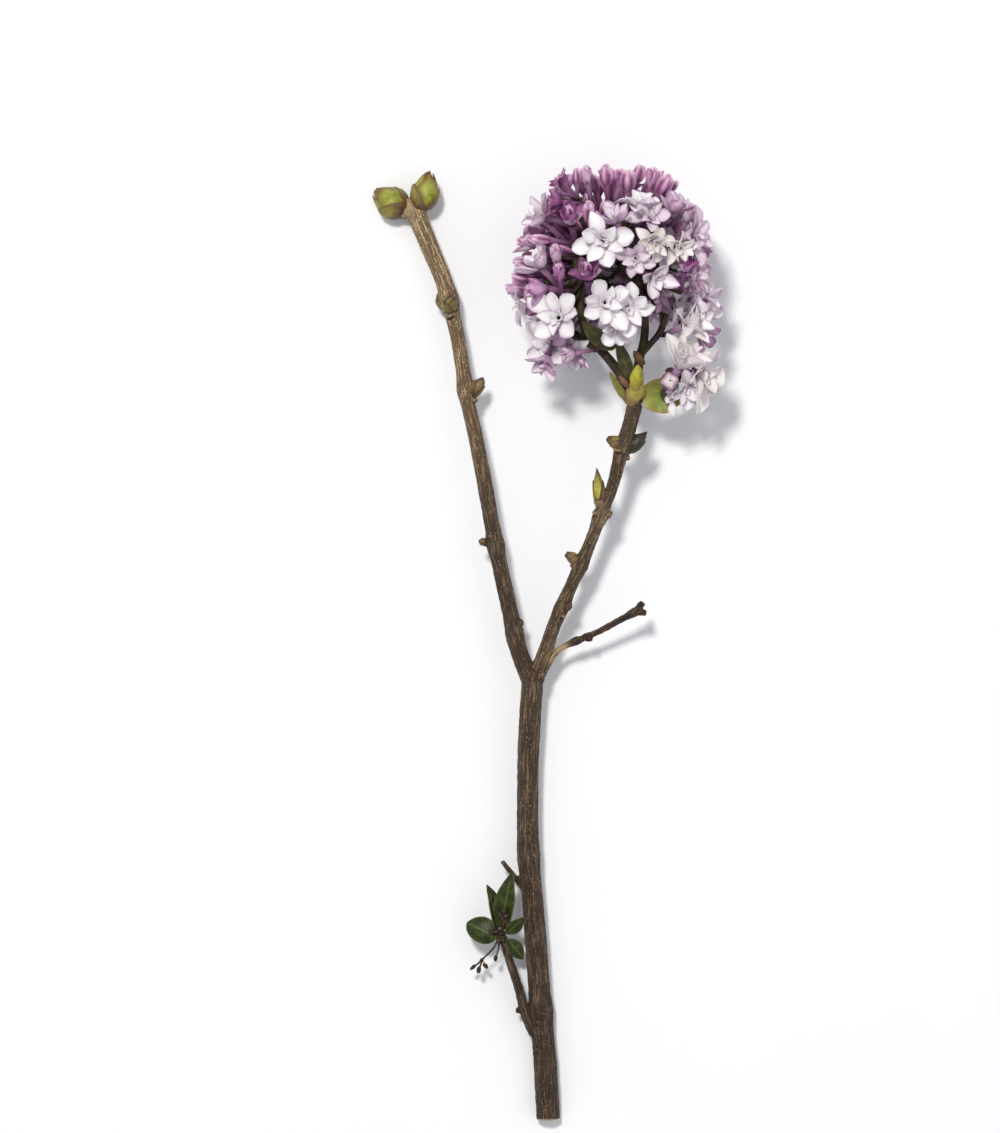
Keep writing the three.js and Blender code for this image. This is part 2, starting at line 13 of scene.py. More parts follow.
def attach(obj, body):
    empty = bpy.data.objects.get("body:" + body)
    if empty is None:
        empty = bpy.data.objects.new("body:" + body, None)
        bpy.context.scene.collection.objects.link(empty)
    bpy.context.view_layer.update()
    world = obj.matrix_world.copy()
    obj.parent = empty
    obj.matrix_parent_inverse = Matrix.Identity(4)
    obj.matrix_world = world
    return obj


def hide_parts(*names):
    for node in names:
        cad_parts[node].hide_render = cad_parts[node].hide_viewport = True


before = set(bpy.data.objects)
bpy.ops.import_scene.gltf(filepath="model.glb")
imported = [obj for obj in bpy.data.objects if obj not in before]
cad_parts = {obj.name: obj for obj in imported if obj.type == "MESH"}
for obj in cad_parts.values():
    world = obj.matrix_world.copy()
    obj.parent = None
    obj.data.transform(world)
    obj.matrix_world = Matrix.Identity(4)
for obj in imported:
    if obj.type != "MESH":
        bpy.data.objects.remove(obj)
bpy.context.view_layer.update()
bpy.ops.object.select_all(action="DESELECT")

MM = 0.001
CUT_END = Vector((1.5, -190.2, 0.0))  # millimetres: the cut end, from the middle of the whole part
FLOOR_GAP = 0.0001  # metres: how near the floor a petal or a scale comes


def spot(point):
    """A point given in millimetres from the cut end, in the part's frame in metres."""
    return (Vector(point) + CUT_END) * MM


# ------------------------------------------------------------------ camera, floor and light
CAMERA_HEIGHT = 2.0
VIEW_MIDDLE = (-0.0177, 0.0304)
VIEW_LENGTH = 0.4532  # of the surface, along the frame's long side
SENSOR = 36.0
# Each light's place, width, power and colour. They aim at the middle of the bloom and branches.
LIGHTS = {
    "sun_window": ((-0.4, 0.8, 2.2), 0.28, 36.5, (1.0, 0.975, 0.93)),
    "soft_fill": ((1.2, -0.6, 1.8), 2.2, 6, (0.97, 0.985, 1.0)),
}
LIGHT_AIM = Vector((0.0, 0.08, 0.02))
ROOM_COLOUR = (0.97, 0.98, 1.0, 1)
ROOM_STRENGTH = 0.51
FLOOR_SIDE = 6.0
FLOOR_DEPTH = -0.0002  # just under the part, so that the two don't share a plane


def look_down():
    """The camera straight above the stem, its top edge towards +Y."""
    bpy.ops.object.camera_add(location=(*VIEW_MIDDLE, CAMERA_HEIGHT), rotation=(0, 0, 0))
    camera = bpy.context.object
    camera.name = "camera"
    camera.data.sensor_width = SENSOR
    camera.data.lens = SENSOR * CAMERA_HEIGHT / VIEW_LENGTH
    camera.data.clip_start = 0.05
    camera.data.clip_end = 20
    bpy.context.scene.camera = camera


def area_light(name, position, size, power, colour):
    """A square light that aims at the part."""
    bpy.ops.object.light_add(type="AREA", location=position)
    light = bpy.context.object
    light.name = name
    light.data.size = size
    light.data.energy = power
    light.data.color = colour
    light.rotation_euler = (LIGHT_AIM - Vector(position)).to_track_quat("-Z", "Y").to_euler()


def light_up():
    """The two lights and the pale room round them."""
    for name, settings in LIGHTS.items():
        area_light(name, *settings)
    world = bpy.data.worlds.new("pale_room")
    world.use_nodes = True
    background = world.node_tree.nodes["Background"]
    background.inputs["Color"].default_value = ROOM_COLOUR
    background.inputs["Strength"].default_value = ROOM_STRENGTH
    bpy.context.scene.world = world
    bpy.context.scene.view_settings.view_transform = "Standard"
    bpy.context.scene.view_settings.exposure = 0


look_down()
light_up()


# ------------------------------------------------------------------ materials
def paint(code):
    """A web colour as the shader's linear numbers."""
    parts = [int(code[i : i + 2], 16) / 255 for i in (1, 3, 5)]
    return (*[c / 12.92 if c < 0.04045 else ((c + 0.055) / 1.055) ** 2.4 for c in parts], 1)


class Flow:
    """A value on its way through a material. Arithmetic on it adds Math nodes."""

    def __init__(self, recipe, socket):
        self.recipe = recipe
        self.socket = socket

    def math(self, operation, *values):
        sockets = dict(enumerate(values))
        return self.recipe.node("ShaderNodeMath", {"operation": operation}, sockets)

    def __add__(self, other):
        return self.math("ADD", self, other)

    def __sub__(self, other):
        return self.math("SUBTRACT", self, other)

    def __rsub__(self, other):
        return self.math("SUBTRACT", other, self)

    def __mul__(self, other):
        return self.math("MULTIPLY", self, other)

    def __abs__(self):
        return self.math("ABSOLUTE", self)

    __radd__ = __add__
    __rmul__ = __mul__

    def fraction(self):
        """What is left over a whole number: a saw from 0 to 1, again and again."""
        return self.math("FRACT", self)

    def cosine(self):
        return self.math("COSINE", self)

    def over(self, low, high):
        """0 up to `low`, 1 from `high`, smooth between."""
        sockets = {"Value": self, "From Min": low, "From Max": high}
        return self.recipe.node("ShaderNodeMapRange", {"interpolation_type": "SMOOTHSTEP"}, sockets)

    def part(self, axis):
        """The X, Y or Z of a vector or a colour, by its number."""
        return self.recipe.node("ShaderNodeSeparateXYZ", {}, {0: self}, axis)

    def stretched(self, *scale):
        """A vector with each axis multiplied, so that a pattern on it gets finer that way."""
        return self.recipe.node("ShaderNodeMapping", {}, {"Vector": self, "Scale": scale})


class Recipe:
    """One material: a Principled shader with constant settings, and the nodes that feed it."""

    def __init__(self, name, **constants):
        self.material = bpy.data.materials.new(name)
        self.material.use_nodes = True
        self.tree = self.material.node_tree
        self.shader = self.tree.nodes["Principled BSDF"]
        for socket, value in constants.items():
            self.shader.inputs[socket.replace("_", " ")].default_value = value

    def node(self, kind, settings, sockets, outlet=0):
        """Any node: its type, its settings, and what each socket gets, a value, a web colour or
        another node's result."""
        node = self.tree.nodes.new(kind)
        for name, value in settings.items():
            setattr(node, name, value)
        for name, value in sockets.items():
            if isinstance(value, Flow):
                self.tree.links.new(value.socket, node.inputs[name])
            else:
                node.inputs[name].default_value = paint(value) if isinstance(value, str) else value
        return Flow(self, node.outputs[outlet])

    def attribute(self, name, outlet):
        """What `set_number` or the bark's weathering left at the piece's points."""
        return self.node("ShaderNodeAttribute", {"attribute_name": name}, {}, outlet)

    def number(self, name):
        return self.attribute(name, "Fac")

    def uv(self):
        return self.node("ShaderNodeUVMap", {"uv_map": "UVMap"}, {})

    def across(self):
        """0 on a blade's midrib, 1 at its edges."""
        return abs(self.uv().part(0) - 0.5) * 2

    def along(self):
        """0 at the root of a blade or a wall, 1 at its tip."""
        return self.uv().part(1)

    def place(self):
        """The point on the object, in millimetres."""
        return self.node("ShaderNodeTexCoord", {}, {}, "Object").stretched(1000, 1000, 1000)

    def cloud(self, vector, scale, detail, roughness=0.55):
        """Soft uneven noise, from 0 to 1 and mostly near a half."""
        sockets = {"Vector": vector, "Scale": scale, "Detail": detail, "Roughness": roughness}
        return self.node("ShaderNodeTexNoise", {}, sockets)

    def cells(self, vector, outlet="Distance"):
        """Scattered points: the distance to the nearest, or a colour of its own for each."""
        return self.node("ShaderNodeTexVoronoi", {}, {"Vector": vector, "Scale": 1.0}, outlet)

    def blend(self, share, first, second):
        """From the first colour at a share of 0 to the second at 1."""
        sockets = {0: share, 6: first, 7: second}
        return self.node("ShaderNodeMix", {"data_type": "RGBA"}, sockets, 2)

    def finish(self, colour, roughness, height=None, depth=0.1):
        """Feeds the shader. `height` is a relief, `depth` its size in millimetres."""
        self.tree.links.new(colour.socket, self.shader.inputs["Base Color"])
        self.tree.links.new(roughness.socket, self.shader.inputs["Roughness"])
        if height:
            sockets = {"Height": height, "Distance": depth * MM, "Strength": 1.0}
            relief = self.node("ShaderNodeBump", {}, sockets)
            self.tree.links.new(relief.socket, self.shader.inputs["Normal"])
        return self.material


def bark_material():
    """Lengthwise ridges, pale raised pores, a light lip at the leaf scars with painted shadow in the
    groove under it, and a pale cut end.
    """
    bark = Recipe("bark", Specular_IOR_Level=0.35)
    grain = bark.attribute("grain", "Vector")
    age = bark.number("age")
    ridges = bark.cloud(grain.stretched(1.5, 1.5, 0.09), 1.0, 4, 0.65)
    fibres = bark.cloud(grain.stretched(4.5, 4.5, 0.4), 1.0, 3, 0.6)
    blotches = bark.cloud(grain, 0.16, 3)
    pore_place = grain.stretched(1.05, 1.05, 0.8)
    pore_size = bark.cells(pore_place, "Color").part(0) * 0.3
    pores = 1 - (bark.cells(pore_place) - pore_size).over(0.0, 0.12)
    groove = 1 - abs(ridges - 0.5).over(0.01, 0.045)
    young = bark.blend(ridges.over(0.36, 0.64), "#755a3e", "#d0b489")
    old = bark.blend(ridges.over(0.36, 0.66), "#1e130e", "#61493a")
    colour = bark.blend(age, young, old)
    colour = bark.blend(blotches.over(0.45, 0.75) * 0.25, colour, "#7c6a58")
    colour = bark.blend(fibres.over(0.5, 0.7) * 0.5, colour, "#4a3826")
    colour = bark.blend(groove * 0.6, colour, "#33261a")
    pore_colour = bark.blend(age, "#dccba6", "#b39a77")
    colour = bark.blend(pores * (0.85 - 0.5 * age), colour, pore_colour)
    lip = bark.number("scar")
    colour = bark.blend(lip.over(0.1, 0.9), colour, "#a3876a")
    # Painted shadow: the groove under each scar's lip, where the number is below 0, is darkened.
    colour = bark.blend((0 - lip).over(0.1, 0.9), colour, "#2a1d17")
    rings = bark.cloud(grain.stretched(0.9, 0.9, 0), 1.4, 2)
    pale_wood = bark.blend(rings.over(0.35, 0.65), "#bd9c72", "#e0c8a2")
    colour = bark.blend(bark.number("cut"), colour, pale_wood)
    height = ridges + fibres * 0.35 + pores * 0.5 - groove * 0.3
    return bark.finish(colour, 0.9 - 0.4 * ridges, height, 0.6)


def scale_material(name, body, light_tone_and_highlight, rim, foot, rim_width, tip_from=0.86):
    """A bud scale or leaf scale: its body between two greens, the lighter partly painted highlight, with
    a brown rim, tip and foot.
    `rim_width` is the share of its half width that the rim takes, and `tip_from` the share of its
    length where the tip starts."""
    scale = Recipe(name, Specular_IOR_Level=0.4, Subsurface_Weight=0.08, Subsurface_Scale=0.001)
    across = scale.across()
    along = scale.along()
    mottle = scale.cloud(scale.place(), 0.35, 4)
    veins = scale.cloud(scale.uv().stretched(26, 1.6, 1), 1.0, 3)
    # Lighter towards the tip and in patches: partly the scale's own tone, partly painted highlight.
    colour = scale.blend((mottle + along * 0.3).over(0.35, 0.85), body, light_tone_and_highlight)
    colour = scale.blend(veins.over(0.48, 0.7) * 0.4, colour, rim)
    edge = (across + mottle * 0.35 - 0.17).over(1.0 - rim_width, 1.02)
    tip = (along + mottle * 0.2 - 0.1).over(tip_from, 1.0)
    root = 1 - (along + mottle * 0.3).over(0.15, 0.6)
    colour = scale.blend(root * 0.75, colour, foot)
    colour = scale.blend(edge * 0.85, colour, rim)
    colour = scale.blend(tip * 0.9, colour, rim)
    return scale.finish(colour, 0.32 + 0.25 * mottle, veins * 0.6 + mottle * 0.4, 0.2)


def leaf_material(name, body, vein_colour, rim):
    """A small dark leaf with a paler midrib, side veins and rim."""
    leaf = Recipe(name, Specular_IOR_Level=0.3, Subsurface_Weight=0.05, Subsurface_Scale=0.001)
    across = leaf.across()
    along = leaf.along()
    mottle = leaf.cloud(leaf.place(), 0.4, 4)
    midrib = 1 - across.over(0.03, 0.10)
    slant = (along * 7 - across * 2.2).fraction()
    side_veins = (1 - abs(slant - 0.5).over(0.02, 0.09)) * (1 - across.over(0.75, 0.95))
    colour = leaf.blend(mottle.over(0.4, 0.66), body, vein_colour)
    colour = leaf.blend(0.55 * side_veins, colour, vein_colour)
    colour = leaf.blend(0.85 * midrib, colour, rim)
    colour = leaf.blend(across.over(0.88, 0.99) * 0.5, colour, rim)
    height = mottle * 0.5 - side_veins * 0.4 - midrib * 0.6
    return leaf.finish(colour, 0.36 + 0.2 * mottle, height, 0.15)


def petal_material(name, flush):
    """White petals with lilac rims and painted shade towards their roots; purpler where the floret's tint
    is high. `flush` adds to it.
    """
    petal = Recipe(name, Specular_IOR_Level=0.3, Subsurface_Weight=0.15, Subsurface_Scale=0.001)
    petal.shader.inputs["Subsurface Radius"].default_value = (1.0, 0.7, 1.0)
    across = petal.across()
    along = petal.along()
    tint = (petal.number("tint") + flush) * (1 - petal.number("pale"))
    cream = petal.number("cream")
    mottle = petal.cloud(petal.place(), 0.25, 3)
    veins = petal.cloud(petal.uv().stretched(15, 1.2, 1), 1.0, 2)
    white = petal.blend(cream, "#efedee", "#eae1cb")
    patches = petal.cloud(petal.place(), 0.11, 2).over(0.38, 0.62)
    body = petal.blend(tint.over(0.1, 0.8), white, petal.blend(patches, "#c795bf", "#dcb2d2"))
    body = petal.blend(tint.over(0.65, 1.1), body, petal.blend(mottle, "#7d4374", "#b56da6"))
    rim_colour = petal.blend(tint.over(0.0, 0.6), "#b384b6", "#7c3770")
    rim = (across * 0.85 + along * 0.3 + mottle * 0.4 - 0.2).over(0.62, 1.1)
    rim = rim * (0.26 + patches * 0.38 + tint * 0.36) * (1 - cream * 0.8)
    colour = petal.blend(rim, body, rim_colour)
    colour = petal.blend(veins.over(0.46, 0.72) * (0.1 + tint * 0.3), colour, rim_colour)
    # Painted shade: each petal is greyer towards its root, and deep purple there on purple florets.
    throat_shade = 1 - along.over(0.0, 0.42)
    colour = petal.blend(throat_shade * 0.6, colour, petal.blend(tint, "#b9a2b8", "#6a3263"))
    return petal.finish(colour, 0.5 + 0.12 * mottle, veins * 0.7 + mottle * 0.3, 0.10)


HEAD_LOBES = 4  # a closed floret's petals, folded round one another


def bud_head_material(name, body_colour, ridge_and_highlight_colour, pale_tip_and_highlight):
    """A closed floret: plump pink-purple lobes whose ridges are paler, partly in their own colour and
    partly as painted highlight, with painted shade in the seams between them and a pale tip: painted
    highlight on the pink buds, and the round bud's own white centre. The body and ridge colours are those
    of the purplest florets."""
    bud = Recipe(name, Specular_IOR_Level=0.45, Subsurface_Weight=0.15, Subsurface_Scale=0.001)
    around = bud.uv().part(0)
    along = bud.along()
    tint = bud.number("tint")
    lobe = (around * (HEAD_LOBES * 2 * math.pi)).cosine() * 0.5 + 0.5
    mottle = bud.cloud(bud.place(), 0.4, 3)
    body = bud.blend(tint, "#c98fb8", body_colour)
    ridge_and_highlight = bud.blend(tint, "#eccfe2", ridge_and_highlight_colour)
    # Paler lobe ridges: partly their own colour, partly painted highlight.
    colour = bud.blend((lobe * 0.7 + mottle * 0.8).over(0.5, 1.25), body, ridge_and_highlight)
    # Painted shade in the seams between the lobes.
    colour = bud.blend((1 - lobe.over(0.0, 0.16)) * 0.7, colour, "#55264c")
    # Pale tip: painted highlight on the pink buds, and the round bud's own white centre.
    colour = bud.blend((along + mottle * 0.3).over(0.68, 1.08) * 0.8, colour, pale_tip_and_highlight)
    colour = bud.blend((1 - along.over(0.0, 0.5)) * 0.7, colour, "#70386a")
    return bud.finish(colour, 0.38 + 0.2 * mottle, lobe, 0.25)


def tube_material():
    """A floret's tube: purple, with painted shade darkening it towards its foot."""
    tube = Recipe("flower_tube", Specular_IOR_Level=0.35, Subsurface_Weight=0.1,
                  Subsurface_Scale=0.001)
    along = tube.along()
    tint = tube.number("tint")
    streaks = tube.cloud(tube.uv().stretched(9, 1, 1), 1.0, 3)
    mouth = tube.blend(tint, "#c09abb", "#84477a")
    # Painted shade: the tube darkens from its mouth down to its foot.
    colour = tube.blend((along + streaks * 0.3).over(0.1, 1.1), "#452340", mouth)
    return tube.finish(colour, 0.45 + 0.15 * streaks, streaks, 0.1)


def stalk_material():
    """Flower stalks: dark olive to brown-purple, warty."""
    stalk = Recipe("flower_stalk", Specular_IOR_Level=0.3)
    place = stalk.place()
    blotches = stalk.cloud(place, 0.12, 3)
    warts = stalk.cloud(place, 1.5, 3)
    colour = stalk.blend(blotches.over(0.4, 0.62), "#3f3b20", "#332122")
    colour = stalk.blend(warts.over(0.55, 0.75) * 0.5, colour, "#6e6339")
    return stalk.finish(colour, 0.6 + 0.2 * warts, warts, 0.25)


def dried_material():
    """Dried flower remains: crumbled red-brown."""
    dried = Recipe("dried_remains", Specular_IOR_Level=0.2)
    mottle = dried.cloud(dried.place(), 0.9, 4)
    colour = dried.blend(mottle.over(0.35, 0.65), "#1f1917", "#5c4a3e")
    return dried.finish(colour, 0.75 + 0.2 * mottle, mottle, 0.4)


def floor_material():
    """Plain pale paper."""
    paper = Recipe("floor", Specular_IOR_Level=0.1)
    mottle = paper.cloud(paper.place(), 0.02, 3)
    colour = paper.blend(mottle, "#f1f2f5", "#f4f5f8")
    return paper.finish(colour, 0.85 + 0.1 * mottle)


BARK = bark_material()
BUD_SCALE = scale_material("bud_scale", "#5d6424", "#9ca03a", "#7a5638", "#4f3526", 0.62, 0.74)
BUD_SCALE_OUTER = scale_material("bud_scale_outer", "#64542a", "#8c843c", "#704638", "#402a20", 0.45, 0.8)
BUD_SCALE_BROWN = scale_material("bud_scale_brown", "#5d4630", "#80663c", "#472b24", "#453026", 0.6)
BUD_SCALE_OLIVE = scale_material("bud_scale_olive", "#57502a", "#7f7538", "#4f302a", "#3f2c22", 0.7)
BUD_SCALE_TAN = scale_material("bud_scale_tan", "#75703a", "#a89c48", "#4c3226", "#5f4c34", 0.4, 0.3)
BUD_SCALE_DARK = scale_material("bud_scale_dark", "#261f15", "#383021", "#2a2018", "#57512a", 0.25)
BUD_SCALE_LONG = scale_material("bud_scale_long", "#8c8434", "#c6c046", "#4a3428", "#8a6a44", 0.55, 0.5)
BUD_SCALE_FOOT = scale_material("bud_scale_foot", "#6f5c3c", "#96835a", "#463324", "#54412e", 0.55, 0.6)
BUD_SCALE_RED = scale_material("bud_scale_red", "#3d2720", "#5f4235", "#271914", "#33231c", 0.4)
BUD_SCALE_WOODY = scale_material("bud_scale_woody", "#4c3a2c", "#7d6448", "#33261e", "#40322a", 0.5)
FOOT_SCALE = scale_material("foot_scale", "#86862a", "#b5b234", "#9a7c46", "#8a763c", 0.3)
FOOT_SCALE_TAN = scale_material("foot_scale_tan", "#7d712e", "#ab9a48", "#8b6a44", "#6f5638", 0.4)
GREEN_SCALE = scale_material("green_scale", "#4f6122", "#8a9a35", "#937a3e", "#a09a4c", 0.2)
LEFT_SCALE = scale_material("left_scale", "#575a22", "#848634", "#65492c", "#6b5a34", 0.36)
BROWN_SCALE = scale_material("brown_scale", "#573a28", "#86623f", "#382419", "#4a3222", 0.5)
LEAF = leaf_material("leaf", "#222b0c", "#3a4517", "#606a2e")
BLOOM_LEAF = leaf_material("bloom_leaf", "#36371d", "#4d4c29", "#66652f")
PETAL = petal_material("petal", 0.0)
PETAL_BACK = petal_material("petal_back", 0.13)
FLOWER_BUD = bud_head_material("flower_bud", "#7c3c6f", "#cb8eb8", "#edd3e4")
ROUND_BUD = bud_head_material("round_flower_bud", "#64295c", "#9a558e", "#f4ebe6")
FLOWER_TUBE = tube_material()
FLOWER_STALK = stalk_material()
DRIED = dried_material()


# ------------------------------------------------------------------ modelling helpers
def only(piece):
    """Selects one piece alone and makes it the active one."""
    bpy.ops.object.select_all(action="DESELECT")
    piece.select_set(True)
    bpy.context.view_layer.objects.active = piece
    return piece


def apply_modifier(piece, kind, **settings):
    """Adds a modifier to a piece and applies it."""
    only(piece)
    bpy.ops.object.modifier_add(type=kind)
    modifier = piece.modifiers[-1]
    for name, value in settings.items():
        setattr(modifier, name, value)
    bpy.ops.object.modifier_apply(modifier=modifier.name)


def joined(pieces, name):
    """Several pieces made one, under a name."""
    only(pieces[0])
    for piece in pieces:
        piece.select_set(True)
    if len(pieces) > 1:
        bpy.ops.object.join()
    pieces[0].name = name
    return pieces[0]


def copy_of(template, matrix):
    """A copy with its own mesh, moved within that mesh."""
    twin = template.copy()
    twin.data = template.data.copy()
    twin.data.transform(matrix)
    bpy.context.scene.collection.objects.link(twin)
    return twin


def drop(*templates):
    """Takes away the models that copies were made from."""
    for template in templates:
        bpy.data.objects.remove(template)


def smooth_shading(piece, degrees=60):
    """Smooth faces, with an edge kept sharp where it turns more than so many degrees."""
    only(piece)
    bpy.ops.object.shade_smooth_by_angle(angle=math.radians(degrees))


def facing_out(piece):
    """Merges doubled points and turns every face outwards."""
    only(piece)
    bpy.ops.object.mode_set(mode="EDIT")
    bpy.ops.mesh.select_all(action="SELECT")
    bpy.ops.mesh.remove_doubles(threshold=1e-6)
    bpy.ops.mesh.normals_make_consistent(inside=False)
    bpy.ops.object.mode_set(mode="OBJECT")


def rest_on_floor(piece):
    """Presses flat what would hang below the floor."""
    for vert in piece.data.vertices:
        vert.co.z = max(vert.co.z, FLOOR_GAP)


def hand_in(piece, name, slot, *nodes, material=None):
    """A finished piece: named, on its body, and in its nodes' place. `slot` is not used."""
    only(piece)
    bpy.ops.object.transform_apply(location=True, rotation=True, scale=True)
    piece.name = name
    piece.data.name = name
    if material:
        piece.data.materials.clear()
        piece.data.materials.append(material)
    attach(piece, "root")
    if nodes:
        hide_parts(*nodes)
    return piece


def smooth_line(points, spacing):
    """Evenly spaced points on a smooth curve through the given ones."""
    given = [Vector(p) for p in points]
    given = [given[0] * 2 - given[1], *given, given[-1] * 2 - given[-2]]
    fine = []
    for before, start, end, after in zip(given, given[1:], given[2:], given[3:]):
        for t in np.arange(0, 1, 0.05):
            bend = 2 * before - 5 * start + 4 * end - after
            turn = 3 * start - before - 3 * end + after
            fine.append(0.5 * (2 * start + (end - before) * t + bend * t**2 + turn * t**3))
    fine = np.array([*fine, given[-2]])
    lengths = np.concatenate([[0], np.cumsum(np.linalg.norm(np.diff(fine, axis=0), axis=1))])
    count = max(2, round(lengths[-1] / spacing) + 1)
    at = np.linspace(0, 1, count) * lengths[-1]
    return np.stack([np.interp(at, lengths, fine[:, k]) for k in range(3)], axis=1)


def tubes(name, lines, sides):
    """Round tubes with closed ends in one mesh. A line is its points and the radius at each, in
    millimetres."""
    route = bpy.data.curves.new(name, "CURVE")
    route.dimensions = "3D"
    route.bevel_depth = MM
    route.bevel_resolution = (sides - 4) // 2
    route.use_fill_caps = True
    for points, radii in lines:
        spline = route.splines.new("POLY")
        spline.points.add(len(points) - 1)
        for knot, point, radius in zip(spline.points, points, radii):
            knot.co = (*spot(point), 1)
            knot.radius = radius
    piece = bpy.data.objects.new(name, route)
    bpy.context.scene.collection.objects.link(piece)
    only(piece)
    bpy.ops.object.convert(target="MESH")
    piece = bpy.context.object
    facing_out(piece)
    return piece


def stepped(values, share):
    """A value between evenly spaced ones, eased from each to the next."""
    at = min(share * (len(values) - 1), len(values) - 1 - 1e-9)
    step = int(at)
    ease = (at - step) ** 2 * (3 - 2 * (at - step))
    return values[step] + (values[step + 1] - values[step]) * ease


def blade(length, shares, widths, lifts, cup, columns, crease=0.0, twist=0.0):
    """A thin blade along +Y from its root at the origin, face up, in millimetres. `widths` and
    `lifts` are its full width and height at `shares` of its length, `cup` raises its edges,
    `crease` sinks its midrib and `twist` turns its tip, in degrees."""
    rows = len(widths)
    bpy.ops.mesh.primitive_grid_add(x_subdivisions=columns, y_subdivisions=rows - 1, size=2)
    piece = bpy.context.object
    bpy.ops.object.mode_set(mode="EDIT")
    bpy.ops.transform.resize(value=(1, length / 2, 1))
    bpy.ops.transform.translate(value=(0, length / 2, 0))
    mesh = bmesh.from_edit_mesh(piece.data)
    mesh.verts.ensure_lookup_table()
    by_row = [mesh.verts[r * (columns + 1) : (r + 1) * (columns + 1)] for r in range(rows)]

    def pick(chosen):
        """Selects these points alone, for the next operator."""
        bpy.ops.mesh.select_all(action="DESELECT")
        for vert in chosen:
            vert.select = True
        bmesh.update_edit_mesh(piece.data)

    for row, (share, width, lift) in enumerate(zip(shares, widths, lifts)):
        pick(by_row[row])
        bpy.ops.transform.resize(value=(width / 2, 1, 1))
        bpy.ops.transform.translate(value=(0, length * (share - row / (rows - 1)), lift))
        fullness = width / max(widths)
        for column in range(columns // 2):
            side = abs(2 * column / columns - 1)
            pick([by_row[row][column], by_row[row][columns - column]])
            bpy.ops.transform.translate(value=(0, 0, (cup * side**2 + crease * side) * fullness))
        if twist:
            pick(by_row[row])
            middle = (0, length * share, lift)
            turn = math.radians(twist * share)
            bpy.ops.transform.rotate(value=turn, orient_axis="Y", center_override=middle)
    bpy.ops.object.mode_set(mode="OBJECT")
    piece.scale = (MM, MM, MM)
    only(piece)
    bpy.ops.object.transform_apply(location=True, rotation=True, scale=True)
    return piece


def stand(origin, direction, side):
    """The matrix that puts local +Z along a direction at a point, with local +X near `side`."""
    z = Vector(direction).normalized()
    x = (Vector(side) - z * z.dot(Vector(side))).normalized()
    y = z.cross(x)
    return Matrix.Translation(origin) @ Matrix((x, y, z)).transposed().to_4x4()


def set_number(piece, name, values):
    """A number at every vertex, or the same one at all of them."""
    if not hasattr(values, "__len__"):
        values = np.full(len(piece.data.vertices), values)
    layer = piece.data.attributes.new(name, "FLOAT", "POINT")
    layer.data.foreach_set("value", np.asarray(values, np.float32))


# ------------------------------------------------------------------ the woody stem
# Routes are in millimetres from the cut end. `widths` are diameters at even steps, `nodes` the
# swellings: share of the length, extra radius, half length as a share. `age` is the bark's at even
# steps, from 0 where it is young and pale to 1 where it is old and dark.
LIMBS = {
    "trunk": {
        "route": [
            (0, 0, 4.3), (-1.1, 21.3, 5.3), (-2.9, 43.8, 6.4), (-4.7, 67.8, 7.6), (-6.1, 85.8, 8.6),
            (-7.9, 107.8, 9.8), (-8.1, 135.7, 11.3), (-7.3, 159.6, 12.6), (-6.3, 175.5, 13.6),
        ],
        "widths": (9.4, 8.6, 8.6),
        "nodes": ((0.25, 0.5, 0.03), (0.6, 0.45, 0.03)),
        "age": (1.0, 0.87),
    },
    "right_branch": {
        "route": [
            (-6.9, 168, 13.0), (-5.7, 174.8, 13.6), (-2.1, 184.7, 15), (2.2, 197, 18),
            (6.5, 207.3, 20), (11.6, 218.8, 22.5), (15.6, 227.9, 24), (20.3, 240.1, 26),
            (25, 251.6, 28), (28.3, 264.5, 30), (31.8, 275.9, 32), (33.9, 284.5, 33),
        ],
        "widths": (6.4, 5.2, 4.9, 6.2),
        "nodes": ((0.31, 0.5, 0.035), (0.46, 0.6, 0.03), (0.63, 0.8, 0.03), (0.86, 0.7, 0.03)),
        "age": (0.75, 0.85),
    },
    "left_branch": {
        "route": [
            (-6.9, 168, 13.0), (-7.2, 174.5, 13.4), (-9.7, 181.5, 13.8), (-12.2, 188.6, 14.2),
            (-15, 201.7, 14.8), (-18.8, 218.8, 15.4), (-22.4, 237.1, 15.8), (-25.5, 254.9, 15.8),
            (-29.1, 272.8, 15.2), (-32.1, 286.7, 14.5), (-35.7, 309.8, 12.8), (-39.1, 325, 11.4),
            (-42.3, 336.2, 10.4), (-47.9, 349.4, 9), (-51.9, 359.4, 8), (-54.3, 364.3, 7.4),
        ],
        "widths": (7.0, 6.2, 5.8, 7.6),
        "nodes": ((0.13, 0.5, 0.02), (0.31, 0.7, 0.02), (0.62, 0.8, 0.02), (0.8, 0.9, 0.02)),
        # Its lower half is dark: partly older bark, partly painted shade.
        "age": (0.9, 0.92, 0.82, 0.38, 0.12, 0),
    },
    "twig": {
        "route": [
            (-5.3, 171.5, 13.4), (-0.9, 180.3, 15), (3, 186.7, 16), (7.4, 189.5, 16.6),
            (17.7, 193.8, 18.4), (26.7, 198.6, 20.4), (33.4, 202.2, 22), (36.2, 203.8, 22.6),
        ],
        "widths": (2.5, 2.5, 2.75),
        "nodes": ((0.48, 0.6, 0.04), (0.95, 0.5, 0.05)),
        "age": (1.0, 1.0),
    },
    "shoot": {
        "route": [
            (-5.6, 34, 6.4), (-8.8, 41.5, 8), (-11.6, 52, 9.5), (-14.8, 62.1, 11),
            (-17.2, 69.7, 12), (-18.8, 74.6, 12.6),
        ],
        "widths": (3.84, 3.2),
        "nodes": (),
        "age": (1.0, 1.0),
    },
}
